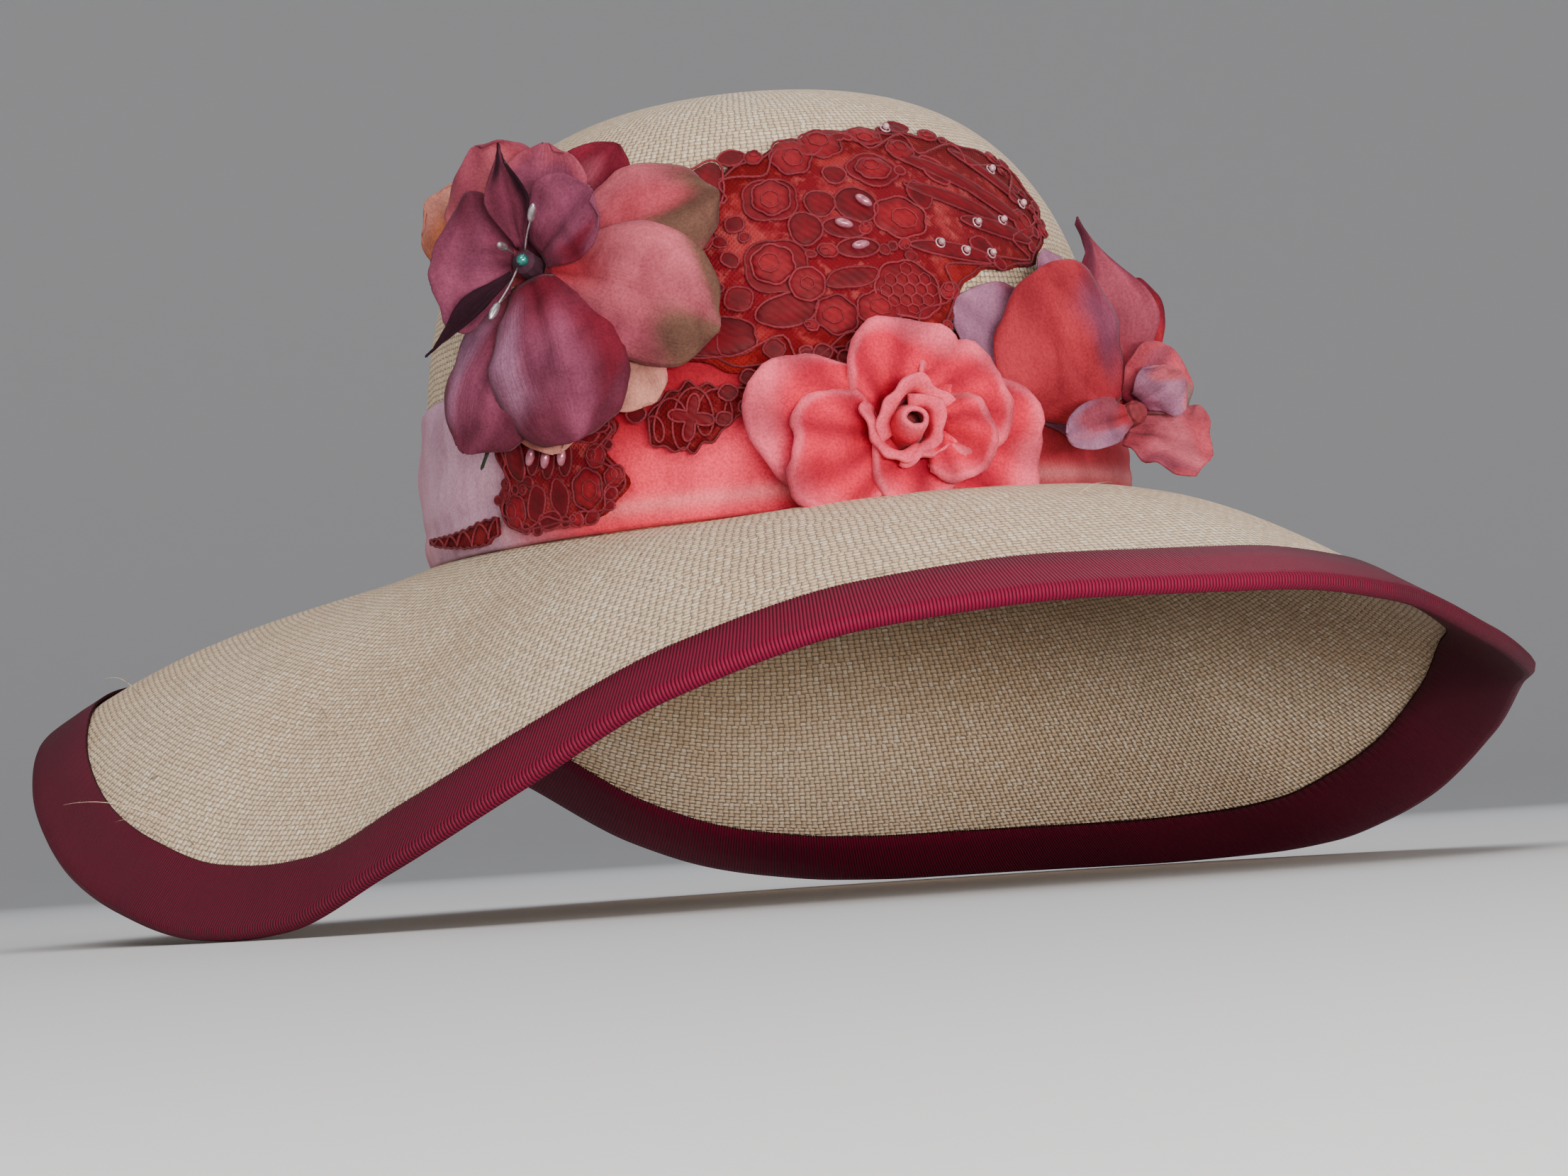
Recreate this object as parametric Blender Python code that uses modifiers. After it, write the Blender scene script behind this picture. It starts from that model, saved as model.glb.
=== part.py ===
# Wide brim straw hat with a velvet band, corded lace and three cloth flowers.
# Metres, Z up, the wearer's face towards -Y, standing on z = 0.
import math

import bpy
from mathutils import Matrix, Vector

# Head opening, inside of the collar
HEAD_HALF_WIDTH = 0.0835
HEAD_HALF_LENGTH = 0.0965

# Walls and clearances
STRAW = 0.0018
RIBBON = 0.0009
VELVET = 0.0022
LACE = 0.0010
PETAL = 0.0012
GAP = 0.0003
SEAM_CLEARANCE = 0.0005
LACE_CLEARANCE = 0.0009

# Flowers
CALYX_RADIUS = 0.0030
CALYX_CLEARANCE = 0.0009
LEFT_REACH = 0.040
LEFT_STAND = 0.010
LEFT_FOOT = 0.0006
ROSE_REACH = 0.032
ROSE_STAND = 0.007
ROSE_FOOT = 0.00014
RIGHT_REACH = 0.045
RIGHT_STAND = 0.008
RIGHT_FOOT = 0.0004

# Stamens and beads
STAMEN_WIRE = 0.0004
STAMEN_BULB = 0.0055
STAMEN_BULB_RADIUS = 0.0010
STAMEN_SPREAD = 0.0022
PEARL_RADIUS = 0.0015
BEAD_RADIUS = 0.0011
BEAD_LENGTH = 0.0046

# Crown
CROWN_HEIGHT = 0.1112
CROWN_ROUNDNESS = 2.9
CROWN_LEAN = math.radians(1.8)
COLLAR_HEIGHT = 0.010
TIP_FLAT_SHARE = 0.13

# Brim
CROWN_BASE_HEIGHT = 0.0865
BRIM_REACH = 0.190
RIM_LIFT = 0.062
LEDGE = 0.0012

# Binding and band
BINDING_TOP_WIDTH = 0.017
BINDING_UNDER_WIDTH = 0.022
BINDING_CLEARANCE = 0.00045
BAND_HEIGHT = 0.040
BAND_EASE = 0.006

# Facets
AROUND = 54
BAND_ROWS = 2
CROWN_ROWS = 6
BRIM_ROWS = 6

# Brim profile round the hat. Angle in degrees from +X towards +Y, reach as a share of
# BRIM_REACH, lift of the rim as a share of RIM_LIFT, slopes at the crown and at the rim.
BRIM_TABLE = (
    # angle, reach, lift, crown slope, rim slope
    (0, 0.97, 0.66, -0.20, -0.70),
    (13, 0.98, 0.46, -0.35, -0.70),
    (25, 0.985, 0.22, -0.60, -0.70),
    (31, 0.985, 0.10, -0.80, -0.65),
    (38, 0.985, 0.00, -1.00, -0.55),
    (58, 0.985, 0.00, -1.10, -0.45),
    (75, 0.985, 0.03, -1.10, -0.42),
    (92, 0.985, 0.00, -1.10, -0.42),
    (105, 0.985, 0.28, -0.85, -0.42),
    (118, 0.985, 0.64, -0.60, -0.40),
    (131, 0.985, 0.80, -0.45, -0.38),
    (150, 0.985, 0.90, -0.35, -0.38),
    (168, 0.985, 0.88, -0.30, -0.50),
    (182, 0.99, 0.76, -0.22, -0.75),
    (194, 0.995, 0.50, -0.30, -1.00),
    (204, 0.995, 0.28, -0.42, -1.20),
    (213, 0.99, 0.12, -0.55, -1.30),
    (222, 0.985, 0.00, -0.65, -1.30),
    (232, 0.985, 0.00, -0.60, -1.25),
    (241, 0.985, 0.20, -0.45, -1.15),
    (251, 0.985, 0.45, -0.20, -0.95),
    (262, 0.985, 0.74, 0.02, -0.55),
    (276, 0.985, 0.94, 0.20, -0.42),
    (291, 0.985, 1.00, 0.28, -0.42),
    (306, 0.985, 1.00, 0.26, -0.44),
    (318, 0.98, 0.95, 0.15, -0.50),
    (332, 0.975, 0.80, 0.02, -0.55),
    (346, 0.97, 0.70, -0.08, -0.65),
)


def table_value(table, column, angle):
    """Smooth value of one column at an angle, with no overshoot between rows."""
    rows = len(table)
    angle = angle % 360
    index = max((i for i in range(rows) if table[i][0] <= angle), default=rows - 1)

    def knot(i):
        turns, row = divmod(i, rows)
        return table[row][0] + 360 * turns, table[row][column]

    if angle < table[0][0]:
        angle += 360
    knots = [knot(index + step) for step in (-1, 0, 1, 2)]
    slopes = [(knots[i + 1][1] - knots[i][1]) / (knots[i + 1][0] - knots[i][0]) for i in range(3)]

    def tangent(before, after):
        if before * after <= 0:
            return 0.0
        return 2 * before * after / (before + after)

    span = knots[2][0] - knots[1][0]
    share = (angle - knots[1][0]) / span
    start = tangent(slopes[0], slopes[1]) * span
    end = tangent(slopes[1], slopes[2]) * span
    square = share * share
    cube = square * share
    return (
        (2 * cube - 3 * square + 1) * knots[1][1]
        + (cube - 2 * square + share) * start
        + (3 * square - 2 * cube) * knots[2][1]
        + (cube - square) * end
    )


def oval_radius(angle, offset):
    """Distance from the crown's axis to the head oval grown by an offset, at a plan angle."""
    width = HEAD_HALF_WIDTH + offset
    length = HEAD_HALF_LENGTH + offset
    turn = math.radians(angle)
    return width * length / math.hypot(length * math.cos(turn), width * math.sin(turn))


def polar(angle, radius, height):
    turn = math.radians(angle)
    return Vector((radius * math.cos(turn), radius * math.sin(turn), height))


def leaned(point):
    """The point turned with the crown, which leans a little towards the wearer's right."""
    foot = Vector((0, 0, CROWN_BASE_HEIGHT))
    return Matrix.Rotation(-CROWN_LEAN, 3, "Y") @ (point - foot) + foot


# Places that several pieces share
CROWN_OUTSIDE = STRAW + SEAM_CLEARANCE + STRAW
CROWN_FOOT_HEIGHT = CROWN_BASE_HEIGHT + STRAW / 2 + SEAM_CLEARANCE
BAND_INSIDE = CROWN_OUTSIDE + GAP
BAND_OUTSIDE = BAND_INSIDE + VELVET
LEDGE_OUTSIDE = BAND_OUTSIDE + LEDGE
BRIM_SKIN = STRAW / 2 + BINDING_CLEARANCE + RIBBON / 2
ANGLES = [360 * step / AROUND for step in range(AROUND)]


def crown_share(height):
    """Share of the base oval that the crown keeps at a height above its foot."""
    share = min(max(height / CROWN_HEIGHT, 0.0), 1.0)
    return (1 - share**CROWN_ROUNDNESS) ** (1 / CROWN_ROUNDNESS)


def crown_point(angle, height, offset=0.0):
    """Point on the crown's outer face, moved out sideways by an offset."""
    radius = oval_radius(angle, CROWN_OUTSIDE) * crown_share(height)
    return leaned(polar(angle, radius + offset, CROWN_FOOT_HEIGHT + height))


def crown_normal(angle, height):
    """Outward direction of the crown's outer face at a place on it."""
    step = CROWN_HEIGHT / 200
    rise = crown_point(angle, height + step) - crown_point(angle, height - step)
    turn = crown_point(angle + 1, height) - crown_point(angle - 1, height)
    return turn.cross(rise).normalized()


def trim_point(angle, height, offset):
    """Point an offset clear of whatever covers the crown there: straw, or the velvet band."""
    share = (BAND_HEIGHT + BAND_EASE - height) / BAND_EASE
    share = min(max(share, 0.0), 1.0)
    cover = (BAND_OUTSIDE - CROWN_OUTSIDE) * share * share * (3 - 2 * share)
    return crown_point(angle, height) + crown_normal(angle, height) * (cover + offset)


def brim_profile(angle, steps=48):
    """Middle of the brim from the ledge to the rim, as (radius, height) pairs."""
    ledge = leaned(polar(angle, oval_radius(angle, LEDGE_OUTSIDE), CROWN_BASE_HEIGHT))
    start = (math.hypot(ledge.x, ledge.y), ledge.z)
    end = (
        BRIM_REACH * table_value(BRIM_TABLE, 1, angle),
        RIM_LIFT * table_value(BRIM_TABLE, 2, angle),
    )
    handle = (end[0] - start[0]) / 3
    leave = (start[0] + handle, start[1] + handle * table_value(BRIM_TABLE, 3, angle))
    arrive = (end[0] - handle, end[1] - handle * table_value(BRIM_TABLE, 4, angle))
    points = []
    for step in range(steps + 1):
        t = step / steps
        s = 1 - t
        weights = (s**3, 3 * s * s * t, 3 * s * t * t, t**3)
        corners = (start, leave, arrive, end)
        points.append(tuple(sum(w * c[axis] for w, c in zip(weights, corners)) for axis in (0, 1)))
    return points


def along(points, distance):
    """Point at a distance along a (radius, height) line, from its last point backwards."""
    for last, first in zip(reversed(points), reversed(points[:-1])):
        length = math.dist(last, first)
        if distance <= length:
            share = distance / length
            return tuple(a + (b - a) * share for a, b in zip(last, first))
        distance -= length
    return points[0]


def brim_rings():
    """Rings of the brim's middle surface from the collar to the rim."""
    inner = [[] for _ in range(BRIM_ROWS)]
    outer = [[], [], [], []]
    for angle in ANGLES:
        profile = brim_profile(angle)
        length = sum(math.dist(a, b) for a, b in zip(profile, profile[1:]))
        for row in range(BRIM_ROWS):
            reach = BINDING_UNDER_WIDTH + (length - BINDING_UNDER_WIDTH) * (1 - row / BRIM_ROWS)
            inner[row].append(polar(angle, *along(profile, reach)))
        distances = (BINDING_UNDER_WIDTH, BINDING_TOP_WIDTH, BINDING_TOP_WIDTH / 2, 0.0)
        for row, distance in enumerate(distances):
            outer[row].append(polar(angle, *along(profile, distance)))
    collar = []
    for height in (CROWN_BASE_HEIGHT + COLLAR_HEIGHT, CROWN_BASE_HEIGHT):
        ring = [leaned(polar(angle, oval_radius(angle, STRAW / 2), height)) for angle in ANGLES]
        collar.append(ring)
    return collar + inner + outer


def ring_normals(rings, row):
    """Upward normals of a ring in a net of rings, from its neighbours."""
    before = rings[max(row - 1, 0)]
    after = rings[min(row + 1, len(rings) - 1)]
    ring = rings[row]
    count = len(ring)
    normals = []
    for i in range(count):
        out = after[i] - before[i]
        round_ = ring[(i + 1) % count] - ring[i - 1]
        normals.append(out.cross(round_).normalized())
    return normals


def binding_rings(rings):
    """Rings of the ribbon's middle surface: over the brim, round its edge and back below."""
    last = len(rings) - 1
    normals = {row: ring_normals(rings, row) for row in range(last - 3, last + 1)}
    result = []

    def leg(row, side):
        return [p + n * (BRIM_SKIN * side) for p, n in zip(rings[row], normals[row])]

    outs = [(p - q).normalized() for p, q in zip(rings[last], rings[last - 1])]
    result.append(leg(last - 2, 1))
    result.append(leg(last - 1, 1))
    result.append([p + o * BINDING_CLEARANCE for p, o in zip(leg(last, 1), outs)])
    result.append([p + o * (BRIM_SKIN + RIBBON / 2) for p, o in zip(rings[last], outs)])
    result.append([p + o * BINDING_CLEARANCE for p, o in zip(leg(last, -1), outs)])
    result.append(leg(last - 1, -1))
    result.append(leg(last - 2, -1))
    result.append(leg(last - 3, -1))
    return result


def material(name, color, roughness, metallic=0.0):
    made = bpy.data.materials.new(name)
    made.use_nodes = True
    shader = made.node_tree.nodes["Principled BSDF"]
    shader.inputs["Base Color"].default_value = (*color, 1.0)
    shader.inputs["Roughness"].default_value = roughness
    shader.inputs["Metallic"].default_value = metallic
    return made


def piece(name, points, faces, surface):
    mesh = bpy.data.meshes.new(name)
    mesh.from_pydata([tuple(p) for p in points], [], faces)
    mesh.update()
    mesh.materials.append(surface)
    made = bpy.data.objects.new(name, mesh)
    made.parent = FRAME
    HAT.objects.link(made)
    return made


def ring_net(rings, loop=False):
    """Points and faces that join closed rings in order, each face turned the same way."""
    count = len(rings[0])
    points = [p for ring in rings for p in ring]
    faces = []
    pairs = [(row, row + 1) for row in range(len(rings) - 1)]
    if loop:
        pairs.append((len(rings) - 1, 0))
    for a, b in pairs:
        for i in range(count):
            j = (i + 1) % count
            faces.append((a * count + i, b * count + i, b * count + j, a * count + j))
    return points, faces


def thicken(made, thickness, offset, even=True):
    solidify = made.modifiers.new("wall", "SOLIDIFY")
    solidify.thickness = thickness
    solidify.offset = offset
    solidify.use_even_offset = even


for old in list(bpy.data.objects):
    bpy.data.objects.remove(old, do_unlink=True)
HAT = bpy.data.collections.new("wide_brim_straw_hat")
bpy.context.scene.collection.children.link(HAT)
FRAME = bpy.data.objects.new("hat_frame", None)
HAT.objects.link(FRAME)

STRAW_CLOTH = material("straw", (0.78, 0.72, 0.60), 0.75)
BINDING_CLOTH = material("burgundy_ribbon", (0.24, 0.012, 0.035), 0.55)
LACE_CLOTH = material("lace_cord", (0.30, 0.02, 0.03), 0.7)
VELVET_CLOTH = material("coral_velvet", (0.72, 0.14, 0.17), 0.85)


def build_crown():
    heights = [BAND_HEIGHT * row / BAND_ROWS for row in range(BAND_ROWS)]
    start = math.asin((BAND_HEIGHT / CROWN_HEIGHT) ** (CROWN_ROUNDNESS / 2))
    end = math.acos(TIP_FLAT_SHARE ** (CROWN_ROUNDNESS / 2))
    for row in range(CROWN_ROWS + 1):
        turn = start + (end - start) * row / CROWN_ROWS
        heights.append(CROWN_HEIGHT * math.sin(turn) ** (2 / CROWN_ROUNDNESS))
    rings = [[crown_point(angle, height) for angle in ANGLES] for height in heights]
    points, faces = ring_net(list(reversed(rings)))
    faces.append(tuple(range(AROUND)))
    crown = piece("crown", points, faces, STRAW_CLOTH)
    thicken(crown, STRAW, -1)
    return crown


def build_brim():
    rings = brim_rings()
    brim = piece("brim", *ring_net(rings), STRAW_CLOTH)
    thicken(brim, STRAW, 0)
    binding = piece("brim_binding", *ring_net(binding_rings(rings)), BINDING_CLOTH)
    thicken(binding, RIBBON, 0)


# Section of the velvet band: share of its height, and out from its inner face in
# shares of the velvet's thickness.
BAND_SECTION = (
    (0.00, 0.0),
    (0.50, 0.0),
    (1.00, 0.0),
    (0.985, 0.7),
    (0.70, 1.0),
    (0.20, 0.85),
    (0.08, 1.0),
    (0.00, 0.6),
)


def build_band():
    inside = BAND_INSIDE - CROWN_OUTSIDE
    rings = []
    for share, out in BAND_SECTION:
        height = BAND_HEIGHT * share
        rings.append([crown_point(angle, height, inside + VELVET * out) for angle in ANGLES])
    piece("velvet_band", *ring_net(rings, loop=True), VELVET_CLOTH)


# Corded lace motifs as outlines on the crown: degrees round from the motif's middle, and
# height from its middle as a share of the crown's height.
LACE_MOTIFS = (
    # name, middle angle, middle height share
    (
        "lace_crown",
        284,
        0.585,
        (
            (0, -0.205), (-8, -0.205), (-16, -0.225), (-23, -0.235), (-29, -0.19), (-33, -0.10),
            (-33, -0.01), (-28, 0.06), (-22, 0.11), (-17, 0.155), (-10, 0.19), (-2, 0.225),
            (7, 0.235), (15, 0.225), (24, 0.215), (33, 0.195), (42, 0.16), (46, 0.08),
            (42, 0.00), (36, -0.07), (29, -0.09), (21, -0.085), (15, -0.11), (10, -0.20),
        ),
    ),
    (
        "lace_side",
        239,
        0.125,
        (
            (0, -0.095), (-5, -0.10), (-9, -0.085), (-11, -0.03), (-9, 0.03), (-11, 0.08),
            (-7, 0.12), (-1, 0.11), (3, 0.145), (8, 0.155), (11, 0.10), (9, 0.04),
            (12, -0.02), (9, -0.075), (5, -0.10),
        ),
    ),
)

# Narrow lace strips along the band: angle, middle height and half width as shares of the
# crown's height.
LACE_STRIPS = (
    (
        "lace_spray",
        (
            (254.5, 0.20, 0.030), (257, 0.21, 0.055), (260, 0.215, 0.070), (263, 0.22, 0.055),
            (266, 0.235, 0.030), (270, 0.26, 0.034), (274, 0.285, 0.036), (278, 0.30, 0.034),
            (281, 0.31, 0.016),
        ),
    ),
    (
        "lace_tail",
        (
            (227.5, 0.050, 0.018), (224, 0.040, 0.026), (219, 0.036, 0.020), (214, 0.038, 0.014),
            (209, 0.043, 0.010), (204.5, 0.050, 0.005),
        ),
    ),
)


def build_lace():
    seat = LACE / 2 + LACE_CLEARANCE
    for name, middle_angle, middle_share, outline in LACE_MOTIFS:
        rings = []
        for scale in (0.15, 0.4, 0.7, 1.0):
            ring = []
            for around, up in outline:
                height = (middle_share + up * scale) * CROWN_HEIGHT
                ring.append(trim_point(middle_angle + around * scale, height, seat))
            rings.append(ring)
        points, faces = ring_net(rings)
        faces.append(tuple(range(len(outline))))
        thicken(piece(name, points, faces, LACE_CLOTH), LACE, 0, even=False)
    for name, rows in LACE_STRIPS:
        grid = []
        for angle, share, half in rows:
            heights = [(share + half * side) * CROWN_HEIGHT for side in (-1, 0, 1)]
            grid.append([trim_point(angle, height, seat) for height in heights])
        thicken(piece(name, *grid_net(grid), LACE_CLOTH), LACE, 0, even=False)


# Half widths along a petal or a leaf: share of the length, share of the half width
ROUND_OUTLINE = ((0.0, 0.20), (0.30, 0.78), (0.62, 1.0), (0.86, 0.80), (1.0, 0.34))
POINTED_OUTLINE = ((0.0, 0.25), (0.25, 0.85), (0.50, 1.0), (0.78, 0.60), (1.0, 0.06))


def petal(name, holder, reach, row, outline, surface):
    """A thin cupped petal from the side of the calyx, in the flower's own frame."""
    right, up, out, width, belly, cup, roll, seat = row
    root = Vector((0, 0, seat * reach))
    tip = Vector((right, up, out)) * reach
    aside = Vector((right, up, 0)).normalized()
    base = root + aside * (CALYX_RADIUS + CALYX_CLEARANCE)
    line_ = (tip - base).normalized()
    face = (Vector((0, 0, 1)) - line_ * line_.z).normalized()
    face = Matrix.Rotation(math.radians(roll), 3, line_) @ face
    across = face.cross(line_)
    length = (tip - base).length
    half = width * reach / 2
    grid = []
    for share, wide in outline:
        middle = base + line_ * length * share
        middle += face * (belly * length * 4 * share * (1 - share))
        line = []
        for side in (-1.0, -0.5, 0.0, 0.5, 1.0):
            point = middle + across * (half * wide * side)
            point += face * (cup * half * wide * side * side)
            point -= line_ * (half * 0.30 * share * side * side)
            line.append(point)
        grid.append(line)
    made = piece(name, *grid_net(grid), surface)
    made.parent = holder
    thicken(made, PETAL, 0, even=False)
    return made


def grid_net(grid):
    rows = len(grid)
    columns = len(grid[0])
    points = [p for row in grid for p in row]
    faces = []
    for i in range(rows - 1):
        for j in range(columns - 1):
            a = i * columns + j
            faces.append((a, a + columns, a + columns + 1, a + 1))
    return points, faces


def flower_holder(name, angle, share, stand, facing, pitch):
    """Empty at a flower's heart: X to its right, Y up and Z out of its face."""
    height = share * CROWN_HEIGHT
    foot = trim_point(angle, height, 0)
    turn = math.radians(facing)
    tilt = math.radians(pitch)
    out = Vector((math.cos(tilt) * math.cos(turn), math.cos(tilt) * math.sin(turn), math.sin(tilt)))
    right = Vector((-math.sin(turn), math.cos(turn), 0))
    holder = bpy.data.objects.new(name, None)
    HAT.objects.link(holder)
    holder.parent = FRAME
    basis = Matrix((right, out.cross(right), out)).transposed().to_4x4()
    basis.translation = foot + crown_normal(angle, height) * stand
    holder.matrix_local = basis
    return holder


def turned(name, holder, profile, sides, surface):
    """A solid turned round the holder's Z axis from (radius, height) points, low to high."""
    mesh = bpy.data.meshes.new(name)
    points = [(radius, 0, height) for radius, height in profile]
    mesh.from_pydata(points, [(i, i + 1) for i in range(len(points) - 1)], [])
    mesh.materials.append(surface)
    made = bpy.data.objects.new(name, mesh)
    made.parent = holder
    HAT.objects.link(made)
    screw = made.modifiers.new("turn", "SCREW")
    screw.steps = sides
    screw.render_steps = sides
    screw.use_merge_vertices = True
    screw.merge_threshold = 0.00001
    screw.use_normal_flip = True
    return made


# Petals and leaves in shares of their flower's reach: where the tip lies from the heart
# (right, up, out), full width, belly, cup, roll in degrees, and the height of the root.
LEFT_PETALS = (
    # name, right, up, out, width, belly, cup, roll, seat, outline, cloth
    ("left_leaf_low", (-0.37, -1.17, -0.05, 0.26, 0.02, 0.2, 0, -0.17), "pointed", "leaf_green"),
    ("left_petal_peach", (-0.80, 0.56, -0.06, 0.48, 0.04, 0.1, 0, -0.17), "round", "petal_peach"),
    ("left_petal_far_right", (1.09, 0.25, -0.06, 0.42, 0.04, 0.1, 0, -0.17), "round", "petal_pink"),
    ("left_petal_low_peach", (0.12, -1.12, -0.04, 0.56, 0.05, 0.1, 0, -0.11), "round", "petal_peach"),
    ("left_petal_top_left", (-0.47, 0.82, 0.02, 0.52, 0.04, 0.1, 0, -0.11), "round", "petal_pink"),
    ("left_petal_top_right", (0.48, 0.77, -0.02, 0.44, 0.04, 0.1, 0, -0.11), "round", "petal_mauve"),
    ("left_petal_low_right", (0.78, -0.88, 0.03, 0.42, 0.04, 0.1, 0, -0.04), "round", "petal_peach"),
    ("left_petal_top", (0.02, 0.76, 0.10, 0.42, 0.04, 0.1, 0, -0.04), "round", "petal_mauve"),
    ("left_petal_low_left", (-0.41, -1.09, 0.12, 0.62, 0.08, -0.2, 0, 0.02), "round", "petal_plum"),
    ("left_petal_upper_right", (1.13, 0.38, 0.04, 0.54, 0.06, 0.1, 0, 0.02), "round", "petal_pink"),
    ("left_petal_right", (1.21, -0.50, 0.16, 0.62, 0.07, -0.1, 0, 0.09), "round", "petal_olive"),
    ("left_petal_left", (-0.58, 0.03, 0.28, 0.7, 0.08, 0.1, 0, 0.14), "round", "petal_plum"),
    ("left_petal_lower", (0.34, -1.12, 0.24, 0.7, 0.1, -0.2, 0, 0.15), "round", "petal_plum"),
    ("left_petal_small", (0.50, 0.34, 0.34, 0.38, 0.06, 0.2, 0, 0.14), "round", "petal_mauve"),
    ("left_leaf_up", (-0.09, 0.69, 0.40, 0.25, 0.05, 0.3, 0, 0.20), "pointed", "leaf_dark"),
    ("left_leaf_down", (-0.53, -0.57, 0.36, 0.16, 0.05, 0.3, 0, 0.21), "pointed", "leaf_dark"),
)
ROSE_PETALS = (
    ("rose_petal_left_back", (-0.99, 0.02, 0.04, 0.66, 0.08, 0.2, 0, -0.15), "round", "rose_velvet"),
    ("rose_petal_top", (0.00, 0.61, 0.14, 0.84, 0.1, 0.2, 0, -0.08), "round", "rose_velvet"),
    ("rose_petal_far_right", (0.92, -0.12, 0.04, 0.58, 0.08, 0.1, 0, -0.13), "round", "rose_velvet"),
    ("rose_petal_upper_right", (0.80, 0.19, 0.20, 0.52, 0.1, 0.2, 0, 0.02), "round", "rose_velvet"),
    ("rose_petal_left", (-0.89, -0.19, 0.30, 0.5, 0.12, 0.1, 0, 0.06), "round", "rose_velvet"),
    ("rose_petal_low", (0.04, -0.36, 0.24, 0.44, 0.1, 0.1, 0, -0.04), "round", "rose_velvet"),
    ("rose_petal_right", (0.58, -0.20, 0.36, 0.4, 0.12, 0.1, 0, 0.12), "round", "rose_velvet"),
    ("rose_whorl_1", (-0.12, 0.24, 0.50, 0.3, 0.04, 0.25, 0, 0.18), "round", "rose_velvet"),
    ("rose_whorl_2", (0.26, -0.02, 0.48, 0.3, 0.04, 0.25, 0, 0.22), "round", "rose_velvet"),
    ("rose_whorl_3", (-0.14, -0.24, 0.48, 0.3, 0.04, 0.25, 0, 0.18), "round", "rose_velvet"),
)
RIGHT_PETALS = (
    ("right_petal_lilac", (-0.92, 0.71, -0.03, 0.5, 0.05, 0.1, 0, -0.11), "round", "petal_mauve"),
    ("right_petal_red", (0.64, 0.87, 0.04, 0.32, 0.06, 0.1, 0, -0.10), "round", "petal_red"),
    ("right_petal_far", (-0.14, 1.01, 0.03, 0.3, 0.03, 0.1, 0, -0.04), "round", "petal_mauve"),
    ("right_petal_tall", (-0.01, 1.15, 0.14, 0.44, 0.05, 0.2, 0, 0.03), "pointed", "petal_plum"),
    ("right_petal_coral", (-0.58, 0.67, 0.26, 0.6, 0.08, -0.1, 0, 0.10), "round", "petal_coral"),
    ("right_petal_edge", (-0.76, -0.18, 0.30, 0.22, 0.05, 0.1, 0, 0.20), "round", "petal_mauve"),
    ("right_petal_low", (0.34, -0.31, 0.36, 0.44, 0.08, 0.2, 0, 0.05), "round", "petal_pink"),
    ("right_petal_mid", (0.19, 0.29, 0.38, 0.34, 0.08, 0.2, 0, 0.13), "round", "petal_pink"),
    ("right_petal_front", (0.10, 0.12, 0.46, 0.34, 0.08, 0.2, 0, 0.20), "round", "petal_mauve"),
)


def build_flower(holder, reach, stand, foot, rows, heart_top, surface):
    for name, row, outline, cloth in rows:
        shape = ROUND_OUTLINE if outline == "round" else POINTED_OUTLINE
        petal(name, holder, reach, row, shape, PETAL_CLOTHS[cloth])
    profile = (
        (0, foot - stand),
        (CALYX_RADIUS, foot - stand),
        (CALYX_RADIUS, heart_top * reach - CALYX_RADIUS / 2),
        (CALYX_RADIUS * 0.6, heart_top * reach),
        (0, heart_top * reach),
    )
    turned(holder.name.replace("_heart", "_calyx"), holder, profile, 10, surface)


PETAL_CLOTHS = {
    "petal_pink": material("petal_pink", (0.66, 0.22, 0.27), 0.7),
    "petal_mauve": material("petal_mauve", (0.36, 0.10, 0.19), 0.7),
    "petal_plum": material("petal_plum", (0.22, 0.06, 0.10), 0.7),
    "petal_peach": material("petal_peach", (0.78, 0.42, 0.34), 0.7),
    "petal_olive": material("petal_olive", (0.42, 0.14, 0.14), 0.7),
    "petal_coral": material("petal_coral", (0.62, 0.11, 0.13), 0.7),
    "petal_red": material("petal_red", (0.38, 0.04, 0.07), 0.7),
    "leaf_dark": material("leaf_dark", (0.06, 0.012, 0.028), 0.6),
    "leaf_green": material("leaf_green", (0.09, 0.12, 0.06), 0.7),
    "rose_velvet": material("rose_velvet", (0.80, 0.20, 0.24), 0.9),
}
STAMEN_SILVER = material("stamen_silver", (0.80, 0.80, 0.84), 0.3, 0.8)
PEARL_GREEN = material("pearl_green", (0.02, 0.16, 0.13), 0.2)
BEAD_ROSE = material("bead_rose", (0.50, 0.16, 0.22), 0.2)

# Stamens of the left flower, tips in shares of its reach
STAMENS = (
    # name, right, up, out
    ("stamen_up", 0.20, 0.24, 0.50),
    ("stamen_left", -0.02, 0.02, 0.50),
    ("stamen_down", -0.08, -0.42, 0.46),
)

# Oval beads on the lace: angle, height share, lean of the long axis in degrees, and how far
# the bead settles onto the lace as a share of its radius
BEADS = (
    # name, angle, height share, lean, settle
    ("bead_crown_1", 287.2, 0.641, -40, 0.15),
    ("bead_crown_2", 283.4, 0.594, -20, 0.25),
    ("bead_crown_3", 285.2, 0.545, 8, 0.1),
    ("bead_side_1", 236.2, 0.180, 68, 0.0),
    ("bead_side_2", 238.8, 0.170, 76, 0.0),
    ("bead_side_3", 241.6, 0.170, 82, 0.0),
)


def bulb(radius, length, low):
    """Profile of an egg-shaped solid from its low end."""
    turns = (0, 35, 90, 145, 180)
    return [
        (radius * math.sin(math.radians(t)), low + length / 2 * (1 - math.cos(math.radians(t))))
        for t in turns
    ]


def aimed(name, holder, start, direction):
    """Empty whose Z axis points along a direction from a start point."""
    made = bpy.data.objects.new(name, None)
    HAT.objects.link(made)
    made.parent = holder
    basis = direction.to_track_quat("Z", "Y").to_matrix().to_4x4()
    basis.translation = start
    made.matrix_local = basis
    return made


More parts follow.
